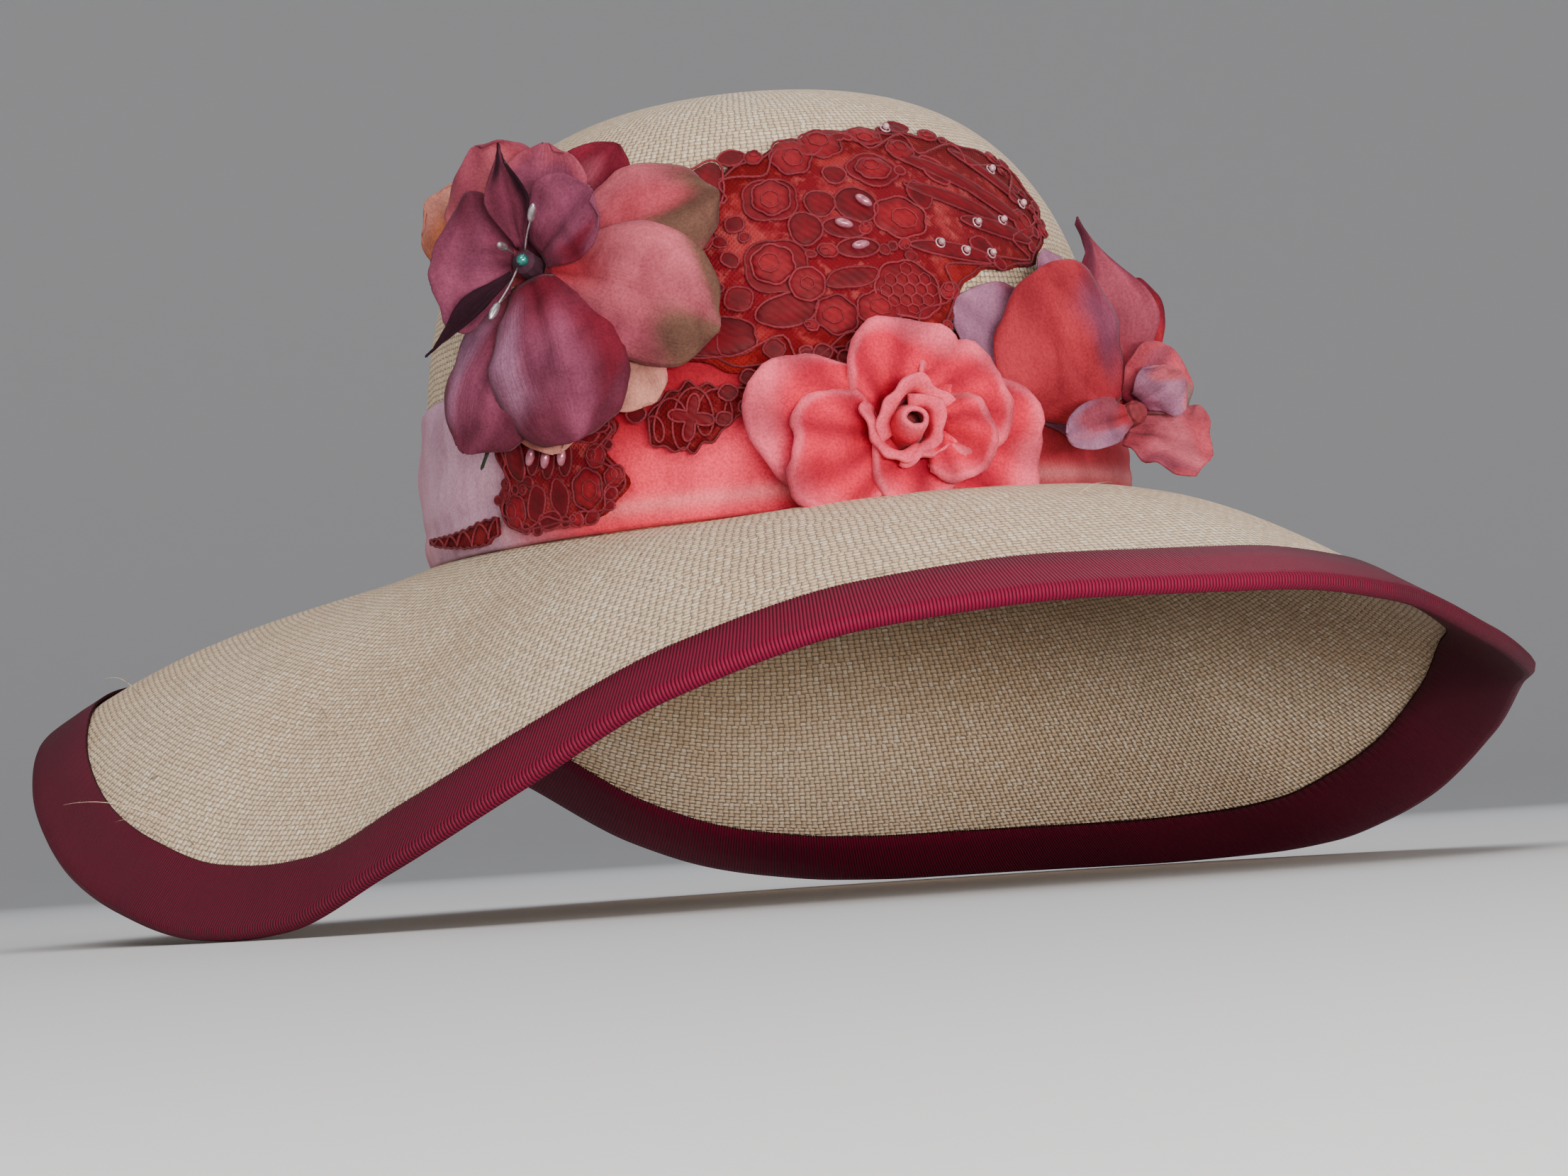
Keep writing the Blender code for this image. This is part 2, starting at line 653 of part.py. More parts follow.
def build_stamens(holder, reach, heart_top):
    top = Vector((0, 0, heart_top * reach))
    for name, right, up, out in STAMENS:
        tip = Vector((right, up, out)) * reach
        aside = Vector((right, up, 0)).normalized() * STAMEN_SPREAD
        start = top + aside + Vector((0, 0, 2 * GAP))
        length = (tip - start).length
        wire = [(0, 0), (STAMEN_WIRE, 0), (STAMEN_WIRE, length - STAMEN_BULB * 0.97)]
        head = bulb(STAMEN_BULB_RADIUS, STAMEN_BULB, length - STAMEN_BULB)[1:]
        stem = aimed(name + "_line", holder, start, tip - start)
        turned(name, stem, wire + head, 6, STAMEN_SILVER)
    spot = Vector((PEARL_RADIUS * 0.9, -PEARL_RADIUS * 0.5, heart_top * reach + GAP))
    seat = aimed("pearl_seat", holder, spot, Vector((0, 0, 1)))
    turned("pearl", seat, bulb(PEARL_RADIUS, 2 * PEARL_RADIUS, 0), 8, PEARL_GREEN)


def build_beads():
    offset = LACE_CLEARANCE + LACE + GAP + BEAD_RADIUS
    for name, angle, share, lean, settle in BEADS:
        height = share * CROWN_HEIGHT
        normal = crown_normal(angle, height)
        round_ = Vector((0, 0, 1)).cross(normal).normalized()
        turn = math.radians(lean)
        axis = round_ * math.cos(turn) + normal.cross(round_) * math.sin(turn)
        place = trim_point(angle, height, offset - settle * BEAD_RADIUS)
        start = place - axis * (BEAD_LENGTH / 2)
        seat = aimed(name + "_line", FRAME, start, axis)
        turned(name, seat, bulb(BEAD_RADIUS, BEAD_LENGTH, 0), 7, BEAD_ROSE)


LEFT_FLOWER = flower_holder("left_flower_heart", 240.2, 0.545, LEFT_STAND, 248, 12)
ROSE = flower_holder("rose_heart", 285.5, 0.14, ROSE_STAND, 282, 5)
RIGHT_FLOWER = flower_holder("right_flower_heart", 322, 0.14, RIGHT_STAND, 318, 15)

build_crown()
build_brim()
build_band()
build_lace()
for holder, reach, stand, foot, rows, heart_top, cloth in (
    (LEFT_FLOWER, LEFT_REACH, LEFT_STAND, LEFT_FOOT, LEFT_PETALS, 0.24, "leaf_dark"),
    (ROSE, ROSE_REACH, ROSE_STAND, ROSE_FOOT, ROSE_PETALS, 0.30, "rose_velvet"),
    (RIGHT_FLOWER, RIGHT_REACH, RIGHT_STAND, RIGHT_FOOT, RIGHT_PETALS, 0.24, "petal_red"),
):
    build_flower(holder, reach, stand, foot, rows, heart_top, PETAL_CLOTHS[cloth])
build_stamens(LEFT_FLOWER, LEFT_REACH, 0.24)
build_beads()


def stand_on_floor():
    """Moves the hat so that it stands on z = 0, with its box centred over the origin."""
    bpy.context.view_layer.update()
    graph = bpy.context.evaluated_depsgraph_get()
    low = [math.inf] * 3
    high = [-math.inf] * 3
    for made in HAT.objects:
        if made.type != "MESH":
            continue
        shape = made.evaluated_get(graph)
        mesh = shape.to_mesh()
        for vertex in mesh.vertices:
            point = shape.matrix_world @ vertex.co
            low = [min(a, b) for a, b in zip(low, point)]
            high = [max(a, b) for a, b in zip(high, point)]
        shape.to_mesh_clear()
    FRAME.location = (-(low[0] + high[0]) / 2, -(low[1] + high[1]) / 2, -low[2])


stand_on_floor()
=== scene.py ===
# Looks of a wide brim straw hat with a velvet band, corded lace and velvet flowers
import math
import random

import bpy
from bpy.props import FloatProperty, FloatVectorProperty, IntProperty, PointerProperty
from bpy.types import Operator, Panel, PropertyGroup
from mathutils import Matrix, Vector, noise
from mathutils.bvhtree import BVHTree


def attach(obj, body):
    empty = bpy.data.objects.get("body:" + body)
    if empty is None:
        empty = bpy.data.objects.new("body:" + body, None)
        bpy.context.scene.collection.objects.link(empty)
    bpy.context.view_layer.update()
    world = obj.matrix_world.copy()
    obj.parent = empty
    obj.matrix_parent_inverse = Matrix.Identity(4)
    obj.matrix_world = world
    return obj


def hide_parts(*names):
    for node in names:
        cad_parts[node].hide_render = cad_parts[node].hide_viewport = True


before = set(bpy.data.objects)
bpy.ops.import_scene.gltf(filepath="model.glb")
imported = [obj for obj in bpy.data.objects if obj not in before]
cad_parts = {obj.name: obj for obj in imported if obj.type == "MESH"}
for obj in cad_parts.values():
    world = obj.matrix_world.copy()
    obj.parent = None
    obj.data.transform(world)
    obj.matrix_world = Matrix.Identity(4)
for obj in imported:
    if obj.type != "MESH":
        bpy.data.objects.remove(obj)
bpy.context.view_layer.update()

bl_info = {
    "name": "Wide brim straw hat",
    "version": (1, 0, 0),
    "blender": (4, 5, 0),
    "location": "3D View > Sidebar > Straw hat",
    "description": "Builds the looks of a straw hat with velvet, lace and flowers",
    "category": "Object",
}

# Where the hat's own frame stands in the shared frame
SHIFT = Vector((0.00183, 0.00004, 0.00228))

# Sizes of the solids, in metres
HEAD_HALF_WIDTH = 0.0835
HEAD_HALF_LENGTH = 0.0965
STRAW = 0.0018
RIBBON = 0.0009
VELVET = 0.0022
LACE = 0.0010
GAP = 0.0003
SEAM_CLEARANCE = 0.0005
LACE_CLEARANCE = 0.0009
BINDING_CLEARANCE = 0.00045
CALYX_RADIUS = 0.0030
CALYX_CLEARANCE = 0.0009
CROWN_HEIGHT = 0.1112
CROWN_ROUNDNESS = 2.9
CROWN_LEAN = math.radians(1.8)
COLLAR_HEIGHT = 0.010
CROWN_BASE_HEIGHT = 0.0865
BRIM_REACH = 0.190
RIM_LIFT = 0.062
LEDGE = 0.0012
BINDING_TOP_WIDTH = 0.017
BINDING_UNDER_WIDTH = 0.022
BAND_HEIGHT = 0.040
BAND_EASE = 0.006

CROWN_OUTSIDE = STRAW + SEAM_CLEARANCE + STRAW
CROWN_FOOT_HEIGHT = CROWN_BASE_HEIGHT + STRAW / 2 + SEAM_CLEARANCE
BAND_INSIDE = CROWN_OUTSIDE + GAP
BAND_OUTSIDE = BAND_INSIDE + VELVET
LEDGE_OUTSIDE = BAND_OUTSIDE + LEDGE
BRIM_SKIN = STRAW / 2 + BINDING_CLEARANCE + RIBBON / 2
LACE_SEAT = LACE / 2 + LACE_CLEARANCE

# Finer sizes that only the looks have
WEAVE_BAND_ROWS = 7
NET_WALL = 0.0005
MOTIF_LAYER = 0.0004
HEXAGON = 1.75
TOOTH = 0.00055
RIBBON_WALL = RIBBON * 0.75
FIBRE_RADIUS = 0.00016
ROSE_LIP = 0.0011
SEED_PEARL_RADIUS = 0.00085
SEED_PEARL_RING = 0.0012
THREAD_RADIUS = 0.00022
STAMEN_RADIUS = 0.00098
LEAST_FLAT = 0.0105
LACE_EASE = 1.1
LACE_FILL = 0.72

BRIM_TABLE = (
    # angle, reach, lift, crown slope, rim slope
    (0, 0.97, 0.66, -0.20, -0.70),
    (13, 0.98, 0.46, -0.35, -0.70),
    (25, 0.985, 0.225, -0.60, -0.70),
    (31, 0.985, 0.135, -0.80, -0.65),
    (38, 0.985, 0.055, -1.00, -0.55),
    (46, 0.985, 0.016, -1.05, -0.50),
    (58, 0.985, 0.00, -1.10, -0.45),
    (70, 0.985, 0.004, -1.10, -0.43),
    (80, 0.985, 0.005, -1.10, -0.42),
    (87, 0.985, 0.02, -1.09, -0.42),
    (93, 0.985, 0.06, -1.06, -0.42),
    (98, 0.985, 0.115, -1.00, -0.42),
    (105, 0.985, 0.255, -0.85, -0.42),
    (118, 0.985, 0.64, -0.60, -0.40),
    (131, 0.985, 0.80, -0.45, -0.38),
    (150, 0.985, 0.90, -0.35, -0.38),
    (168, 0.985, 0.88, -0.30, -0.50),
    (182, 0.99, 0.76, -0.22, -0.75),
    (194, 0.995, 0.50, -0.30, -1.00),
    (204, 0.995, 0.28, -0.42, -1.20),
    (213, 0.99, 0.12, -0.55, -1.30),
    (222, 0.985, 0.012, -0.65, -1.30),
    (227, 0.985, 0.00, -0.63, -1.28),
    (232, 0.985, 0.02, -0.60, -1.25),
    (241, 0.985, 0.20, -0.45, -1.15),
    (251, 0.985, 0.45, -0.20, -0.95),
    (262, 0.985, 0.74, 0.02, -0.55),
    (276, 0.985, 0.94, 0.20, -0.42),
    (291, 0.985, 1.00, 0.28, -0.42),
    (306, 0.985, 1.00, 0.26, -0.44),
    (318, 0.98, 0.95, 0.15, -0.50),
    (332, 0.975, 0.80, 0.02, -0.55),
    (346, 0.97, 0.70, -0.08, -0.65),
)


# Surfaces


def smooth(value):
    value = min(max(value, 0.0), 1.0)
    return value * value * (3 - 2 * value)


def blend(a, b, share):
    return a + (b - a) * share


def table_value(table, column, angle):
    """Smooth value of one column at an angle, with no overshoot between rows."""
    rows = len(table)
    angle = angle % 360
    index = max((i for i in range(rows) if table[i][0] <= angle), default=rows - 1)

    def knot(i):
        turns, row = divmod(i, rows)
        return table[row][0] + 360 * turns, table[row][column]

    if angle < table[0][0]:
        angle += 360
    knots = [knot(index + step) for step in (-1, 0, 1, 2)]
    slopes = [(knots[i + 1][1] - knots[i][1]) / (knots[i + 1][0] - knots[i][0]) for i in range(3)]

    def tangent(before, after):
        if before * after <= 0:
            return 0.0
        return 2 * before * after / (before + after)

    span = knots[2][0] - knots[1][0]
    share = (angle - knots[1][0]) / span
    start = tangent(slopes[0], slopes[1]) * span
    end = tangent(slopes[1], slopes[2]) * span
    square = share * share
    cube = square * share
    return (
        (2 * cube - 3 * square + 1) * knots[1][1]
        + (cube - 2 * square + share) * start
        + (3 * square - 2 * cube) * knots[2][1]
        + (cube - square) * end
    )


def oval_radius(angle, offset):
    width = HEAD_HALF_WIDTH + offset
    length = HEAD_HALF_LENGTH + offset
    turn = math.radians(angle)
    return width * length / math.hypot(length * math.cos(turn), width * math.sin(turn))


def polar(angle, radius, height):
    turn = math.radians(angle)
    return Vector((radius * math.cos(turn), radius * math.sin(turn), height))


LEAN = Matrix.Rotation(-CROWN_LEAN, 3, "Y")
FOOT = Vector((0, 0, CROWN_BASE_HEIGHT))


def leaned(point):
    return LEAN @ (point - FOOT) + FOOT


def crown_share(height):
    share = min(max(height / CROWN_HEIGHT, 0.0), 1.0)
    return (1 - share**CROWN_ROUNDNESS) ** (1 / CROWN_ROUNDNESS)


def crown_point(angle, height, offset=0.0):
    radius = oval_radius(angle, CROWN_OUTSIDE) * crown_share(height)
    return leaned(polar(angle, radius + offset, CROWN_FOOT_HEIGHT + height))


def crown_normal(angle, height):
    step = CROWN_HEIGHT / 200
    rise = crown_point(angle, height + step) - crown_point(angle, height - step)
    turn = crown_point(angle + 1, height) - crown_point(angle - 1, height)
    return turn.cross(rise).normalized()


def trim_point(angle, height, offset):
    """Point an offset clear of whatever covers the crown there: straw, or the velvet band."""
    share = smooth((BAND_HEIGHT + BAND_EASE - height) / BAND_EASE)
    cover = (BAND_OUTSIDE - CROWN_OUTSIDE) * share
    return crown_point(angle, height) + crown_normal(angle, height) * (cover + offset)


def brim_profile(angle, steps=48):
    """Middle of the brim from the ledge to the rim, as (radius, height) pairs."""
    ledge = leaned(polar(angle, oval_radius(angle, LEDGE_OUTSIDE), CROWN_BASE_HEIGHT))
    start = (math.hypot(ledge.x, ledge.y), ledge.z)
    end = (
        BRIM_REACH * table_value(BRIM_TABLE, 1, angle),
        RIM_LIFT * table_value(BRIM_TABLE, 2, angle),
    )
    handle = (end[0] - start[0]) / 3
    leave = (start[0] + handle, start[1] + handle * table_value(BRIM_TABLE, 3, angle))
    arrive = (end[0] - handle, end[1] - handle * table_value(BRIM_TABLE, 4, angle))
    points = []
    for step in range(steps + 1):
        t = step / steps
        s = 1 - t
        weights = (s**3, 3 * s * s * t, 3 * s * t * t, t**3)
        corners = (start, leave, arrive, end)
        points.append(tuple(sum(w * c[axis] for w, c in zip(weights, corners)) for axis in (0, 1)))
    return points


def along(points, distance):
    """Point at a distance along a (radius, height) line, from its last point backwards."""
    for last, first in zip(reversed(points), reversed(points[:-1])):
        length = math.dist(last, first)
        if distance <= length:
            share = distance / length
            return tuple(a + (b - a) * share for a, b in zip(last, first))
        distance -= length
    return points[0]


def ring_normals(rings, row):
    """Upward normals of a ring in a net of rings, from its neighbours."""
    before = rings[max(row - 1, 0)]
    after = rings[min(row + 1, len(rings) - 1)]
    ring = rings[row]
    count = len(ring)
    normals = []
    for i in range(count):
        out = after[i] - before[i]
        around = ring[(i + 1) % count] - ring[i - 1]
        normals.append(out.cross(around).normalized())
    return normals


# Meshes


def build_piece(name, points, faces, surface, nodes=(), uvs=None, colors=None):
    """A piece in the shared frame that rides on the hat. uvs holds a pair for each face corner
    and colors a colour for each point."""
    mesh = bpy.data.meshes.new(name)
    mesh.from_pydata([tuple(p + SHIFT) for p in points], [], faces)
    if uvs is not None:
        layer = mesh.uv_layers.new(name="weave")
        layer.data.foreach_set("uv", [value for pair in uvs for value in pair])
    if colors is not None:
        tint = mesh.color_attributes.new("tint", "FLOAT_COLOR", "POINT")
        tint.data.foreach_set("color", [value for c in colors for value in (*c, 1.0)])
    mesh.validate()
    mesh.shade_smooth()
    mesh.materials.append(surface)
    made = bpy.data.objects.new(name, mesh)
    bpy.context.scene.collection.objects.link(made)
    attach(made, "root")
    if nodes:
        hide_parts(*nodes)
    return made


def rumple(point, size, amount, seed=0):
    """A small smooth offset along one axis that makes a surface uneven."""
    return amount * noise.noise(point / size + Vector((seed * 3.7, seed * 1.3, 0)))


def net(grid, loop_rows=False, loop_columns=False, flip=False):
    """Points, faces and corner places of a grid of points, joined row to row."""
    rows = len(grid)
    columns = len(grid[0])
    points = [p for row in grid for p in row]
    faces = []
    places = []
    for i in range(rows if loop_rows else rows - 1):
        for j in range(columns if loop_columns else columns - 1):
            a, b = i * columns, (i + 1) % rows * columns
            k = (j + 1) % columns
            face = (a + j, b + j, b + k, a + k)
            faces.append(face[::-1] if flip else face)
            places.extend(((i, j), (i + 1, j), (i + 1, j + 1), (i, j + 1)))
    return points, faces, places


def thicken(made, thickness, offset=0.0, even=True):
    solidify = made.modifiers.new("wall", "SOLIDIFY")
    solidify.thickness = thickness
    solidify.offset = offset
    solidify.use_even_offset = even


def dome(rings):
    """Points and faces of rings that close in on a middle, which faces out."""
    points, faces, _ = net(rings, loop_columns=True, flip=True)
    faces.append(tuple(range(len(points) - len(rings[-1]), len(points))))
    return points, faces


def through(before, start, end, after, share):
    """Point on a smooth curve from start to end, led by the points on both sides."""
    return (
        start
        + (end - before) * (0.5 * share)
        + (before * 2 - start * 5 + end * 4 - after) * (0.5 * share**2)
        + (start * 3 - before - end * 3 + after) * (0.5 * share**3)
    )


def seed_of(name):
    """A whole number from a name, so that pieces of one kind differ."""
    return sum(ord(letter) for letter in name)


def declare_cut(grid):
    """Works out the flat size of a cloth piece from its grid, widest row by middle line, and its area, and
    does nothing more with them.
    """
    widest = max(sum((b - a).length for a, b in zip(line, line[1:])) for line in grid)
    middle = [line[len(line) // 2] for line in grid]
    length = sum((b - a).length for a, b in zip(middle, middle[1:]))
    area = 0.0
    for lower, upper in zip(grid, grid[1:]):
        for a, b, c, d in zip(lower, lower[1:], upper[1:], upper):
            area += ((b - a).cross(c - a).length + (c - a).cross(d - a).length) / 2
    flat = (max(widest, LEAST_FLAT), max(length, LEAST_FLAT))
    area = min(max(area, 0.31 * flat[0] * flat[1]), flat[0] * flat[1])


def build_cut(name, node, basis, grid, surface, colors, wall, places=None):
    """A cut of cloth from a grid in its flower's frame, gathered at the flower's heart."""
    moved = [[basis @ p for p in line] for line in grid]
    points, faces, _ = net(moved)
    uvs = places and [places[i] for face in faces for i in face]
    nodes = (node,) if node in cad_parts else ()
    made = build_piece(name, points, faces, surface, nodes, uvs, colors)
    thicken(made, wall, even=False)
    declare_cut(moved)


class Heap:
    """Points, faces and colours of many small shapes that make one piece."""

    def __init__(self):
        self.points = []
        self.faces = []
        self.colors = []

    def add(self, points, faces, colors):
        base = len(self.points)
        self.points.extend(points)
        self.faces.extend(tuple(base + i for i in face) for face in faces)
        self.colors.extend(colors)

    def tube(self, path, radius, color, closed=False, sides=6, taper=False):
        """A round cord along a path, with closed ends where the path is open."""
        count = len(path)
        rings = []
        side = None
        for i, point in enumerate(path):
            ahead = path[(i + 1) % count] if closed or i + 1 < count else point
            behind = path[i - 1] if closed or i > 0 else point
            tangent = (ahead - behind).normalized()
            if side is None:
                side = tangent.orthogonal().normalized()
            side = (side - tangent * side.dot(tangent)).normalized()
            other = tangent.cross(side)
            size = radius
            if taper:
                size = radius * (1 - 0.9 * i / (count - 1))
            ring = []
            for step in range(sides):
                turn = 2 * math.pi * step / sides
                ring.append(point + side * (size * math.cos(turn)) + other * (size * math.sin(turn)))
            rings.append(ring)
        points, faces, _ = net(rings, loop_rows=closed, loop_columns=True, flip=True)
        if not closed:
            faces.append(tuple(reversed(range(sides))))
            faces.append(tuple(range(len(points) - sides, len(points))))
        self.add(points, faces, [color] * len(points))

    def ball(self, center, axis, radius, half_length, color, sides=16, turns=10):
        """A round or oval bead with its long axis along a direction."""
        basis = axis.to_track_quat("Z", "Y").to_matrix()
        rings = []
        for step in range(1, turns):
            turn = math.pi * step / turns
            ring = []
            for i in range(sides):
                local = polar(360 * i / sides, radius * math.sin(turn), -half_length * math.cos(turn))
                ring.append(center + basis @ local)
            rings.append(ring)
        points, faces, _ = net(rings, loop_columns=True, flip=True)
        low, high = len(points), len(points) + 1
        end = basis @ Vector((0, 0, half_length))
        points += [center - end, center + end]
        last = (turns - 2) * sides
        for i in range(sides):
            j = (i + 1) % sides
            faces.append((low, j, i))
            faces.append((high, last + i, last + j))
        self.add(points, faces, [color] * len(points))

    def piece(self, name, surface, nodes=()):
        return build_piece(name, self.points, self.faces, surface, nodes, colors=self.colors)


# Shader maths


class Value:
    """A number socket. Arithmetic on it adds the Math nodes."""

    def __init__(self, finish, socket):
        self.finish = finish
        self.socket = socket

    def __add__(self, other):
        return self.finish.math("ADD", self, other)

    __radd__ = __add__

    def __sub__(self, other):
        return self.finish.math("SUBTRACT", self, other)

    def __rsub__(self, other):
        return self.finish.math("SUBTRACT", other, self)

    def __mul__(self, other):
        return self.finish.math("MULTIPLY", self, other)

    __rmul__ = __mul__

    def __truediv__(self, other):
        return self.finish.math("DIVIDE", self, other)

    def __pow__(self, other):
        return self.finish.math("POWER", self, other)


class Finish:
    """A material built from expressions."""

    def __init__(self, name, **constants):
        self.material = bpy.data.materials.new(name)
        self.material.use_nodes = True
        self.tree = self.material.node_tree
        self.shader = self.tree.nodes["Principled BSDF"]
        for socket, value in constants.items():
            self.shader.inputs[socket.replace("_", " ")].default_value = value

    def connect(self, value, socket):
        if isinstance(value, Value):
            value = value.socket
        if isinstance(value, bpy.types.NodeSocket):
            self.tree.links.new(value, socket)
        elif socket.type == "RGBA" and len(value) == 3:
            socket.default_value = (*value, 1.0)
        else:
            socket.default_value = value

    def node(self, kind, settings=None, values=None):
        """A node of a type, with its settings and then its sockets' values or links."""
        made = self.tree.nodes.new(kind)
        for key, value in (settings or {}).items():
            setattr(made, key, value)
        for key, value in (values or {}).items():
            self.connect(value, made.inputs[key])
        return made

    def math(self, operation, *values):
        settings = {"operation": operation}
        made = self.node("ShaderNodeMath", settings, dict(enumerate(values)))
        return Value(self, made.outputs[0])

    def floor(self, value):
        return self.math("FLOOR", value)

    def fract(self, value):
        return self.math("FRACT", value)

    def ramp01(self, value, low, high):
        """0 below low, 1 above high and smooth between."""
        made = self.node(
            "ShaderNodeMapRange",
            {"interpolation_type": "SMOOTHSTEP"},
            {"Value": value, "From Min": low, "From Max": high},
        )
        return Value(self, made.outputs[0])

    def coordinates(self):
        return self.node("ShaderNodeTexCoord").outputs["Object"]

    def scaled(self, vector, scale):
        made = self.node("ShaderNodeVectorMath", {"operation": "MULTIPLY"}, {0: vector, 1: scale})
        return made.outputs[0]

    def parts(self, vector):
        made = self.node("ShaderNodeSeparateXYZ", None, {0: vector})
        return [Value(self, made.outputs[i]) for i in range(3)]

    def joined(self, x, y, z=0.0):
        return self.node("ShaderNodeCombineXYZ", None, {0: x, 1: y, 2: z}).outputs[0]

    def noise(self, vector, scale, detail=2.0, rough=0.5):
        values = {"Vector": vector, "Scale": scale, "Detail": detail, "Roughness": rough}
        return Value(self, self.node("ShaderNodeTexNoise", None, values).outputs[0])

    def cells(self, x, y):
        """A random number for each pair of whole numbers."""
        made = self.node("ShaderNodeTexWhiteNoise", {"noise_dimensions": "2D"}, {0: self.joined(x, y)})
        return Value(self, made.outputs[0])

    def mix(self, share, a, b, kind="MIX"):
        settings = {"data_type": "RGBA", "blend_type": kind}
        made = self.node("ShaderNodeMix", settings, {0: share, 6: a, 7: b})
        return made.outputs[2]

    def tint(self):
        return self.node("ShaderNodeAttribute", {"attribute_name": "tint"}).outputs["Color"]

    def weave_place(self):
        u, v, _ = self.parts(self.node("ShaderNodeUVMap", {"uv_map": "weave"}).outputs[0])
        return u, v

    def bump(self, height, distance, strength):
        values = {"Height": height, "Distance": distance, "Strength": strength}
        return self.node("ShaderNodeBump", None, values).outputs[0]

    def done(self, color, normal, roughness=None):
        self.connect(color, self.shader.inputs["Base Color"])
        self.connect(normal, self.shader.inputs["Normal"])
        if roughness is not None:
            self.connect(roughness, self.shader.inputs["Roughness"])
        return self.material


def shaded(color, share):
    return tuple(c * share for c in color)


def straw_finish(name, options, start_radius, end_radius, length, bend):
    """Sisal cloth woven in the round: plain weave, with fewer stitches where the radius falls."""
    made = Finish(name, Roughness=0.72, Specular_IOR_Level=0.25, Sheen_Weight=0.12)
    place = made.coordinates()
    u, v = made.weave_place()
    drift = (made.noise(place, 60.0, 3.0) - 0.5) * (options.weave_pitch * 1.1)
    line = (v + drift) / options.weave_pitch
    row = made.floor(line)
    band = made.floor(row / WEAVE_BAND_ROWS)
    share = band * (WEAVE_BAND_ROWS * options.weave_pitch / length)
    radius = start_radius + (share**bend) * (end_radius - start_radius)
    count = made.floor(radius * (math.pi / options.stitch_pitch)) * 2
    sway = made.noise(place, 140.0, 2.0) * 0.5
    place_along = u * count + sway
    stitch = made.floor(place_along)
    over = made.fract((stitch + row) / 2) * 2
    across = made.fract(line) - 0.5
    down = made.fract(place_along) - 0.5
    hump = 1 - across * across * (3.9 - over * 2.9) - down * down * (1.2 + over * 2.9)
    hump = made.math("MAXIMUM", hump, 0.0)
    shade = made.cells(stitch, row)
    fibre = made.noise(place, 1800.0, 2.0, 0.7)
    cloud = made.noise(place, 14.0, 4.0, 0.6)
    light = tuple(options.straw_color)
    # painted shade: the straw darkens to 0.4 of its colour in the grooves between the stitches
    color = made.mix(made.ramp01(hump, 0.02, 0.75), shaded(light, 0.40), light)
    warm = (light[0] * 0.92, light[1] * 0.86, light[2] * 0.74)
    color = made.mix(made.ramp01(cloud, 0.42, 0.68) * 0.22, color, warm, "MULTIPLY")
    color = made.mix(made.ramp01(shade, 0.45, 1.0) * 0.34, color, (0.55, 0.50, 0.42), "MULTIPLY")
    # painted highlight: the tops of some random stitches are made paler, for the straw's shine
    painted_stitch_highlight = made.ramp01(shade, 0.22, 0.0) * made.ramp01(hump, 0.3, 0.9)
    color = made.mix(painted_stitch_highlight * 0.5, color, (0.95, 0.88, 0.72))
    specks = made.ramp01(made.noise(made.scaled(place, (1.0, 1.0, 2.2)), 190.0, 1.0), 0.785, 0.82)
    color = made.mix(specks * 0.7, color, (0.10, 0.075, 0.05))
    height = hump * 0.8 + shade * 0.25 + fibre * 0.2
    return made.done(color, made.bump(height, options.weave_depth, 0.85))


def ribbon_finish(options):
    """Ribbed ribbon: fine ribs straight across it, with painted shade in the grooves and painted light that
    brightens its front part.
    """
    made = Finish("binding_grosgrain", Roughness=0.6, Specular_IOR_Level=0.2, Sheen_Weight=0.03)
    made.shader.inputs["Sheen Roughness"].default_value = 0.4
    made.shader.inputs["Sheen Tint"].default_value = (0.9, 0.25, 0.35, 1.0)
    place = made.coordinates()
    u, _ = made.weave_place()
    rib = made.math("ABSOLUTE", made.math("SINE", u * (math.pi * options.rib_count)))
    fine = made.noise(place, 2600.0, 2.0)
    cloud = made.noise(place, 14.0, 3.0)
    dark = tuple(options.ribbon_shade)
    ridge = made.ramp01(rib, 0.05, 0.7)
    # painted shade: the grooves between the ribs get 0.12 of the shade colour, the ridges the ribbon colour
    color = made.mix(ridge, shaded(dark, 0.12), tuple(options.ribbon_color))
    color = made.mix(made.ramp01(cloud, 0.35, 0.7) * 0.55, color, dark)
    x, y, z = made.parts(place)
    # painted light: a mask of the binding's front part, which is made brighter
    front = made.ramp01(y * -1.0 + z * 0.6, 0.10, 0.20) * made.ramp01(x, -0.12, 0.02)
    front = front * (1 - made.ramp01(x, 0.10, 0.17))
    # painted light on the front part: ridges at 2.2 and grooves at 0.6 of the ribbon colour
    lit = made.mix(ridge, shaded(options.ribbon_color, 0.6), shaded(options.ribbon_color, 2.2))
    color = made.mix(front * 0.7, color, lit)
    height = rib**0.6 + fine * 0.12
    return made.done(color, made.bump(height, 0.00040, 0.9))


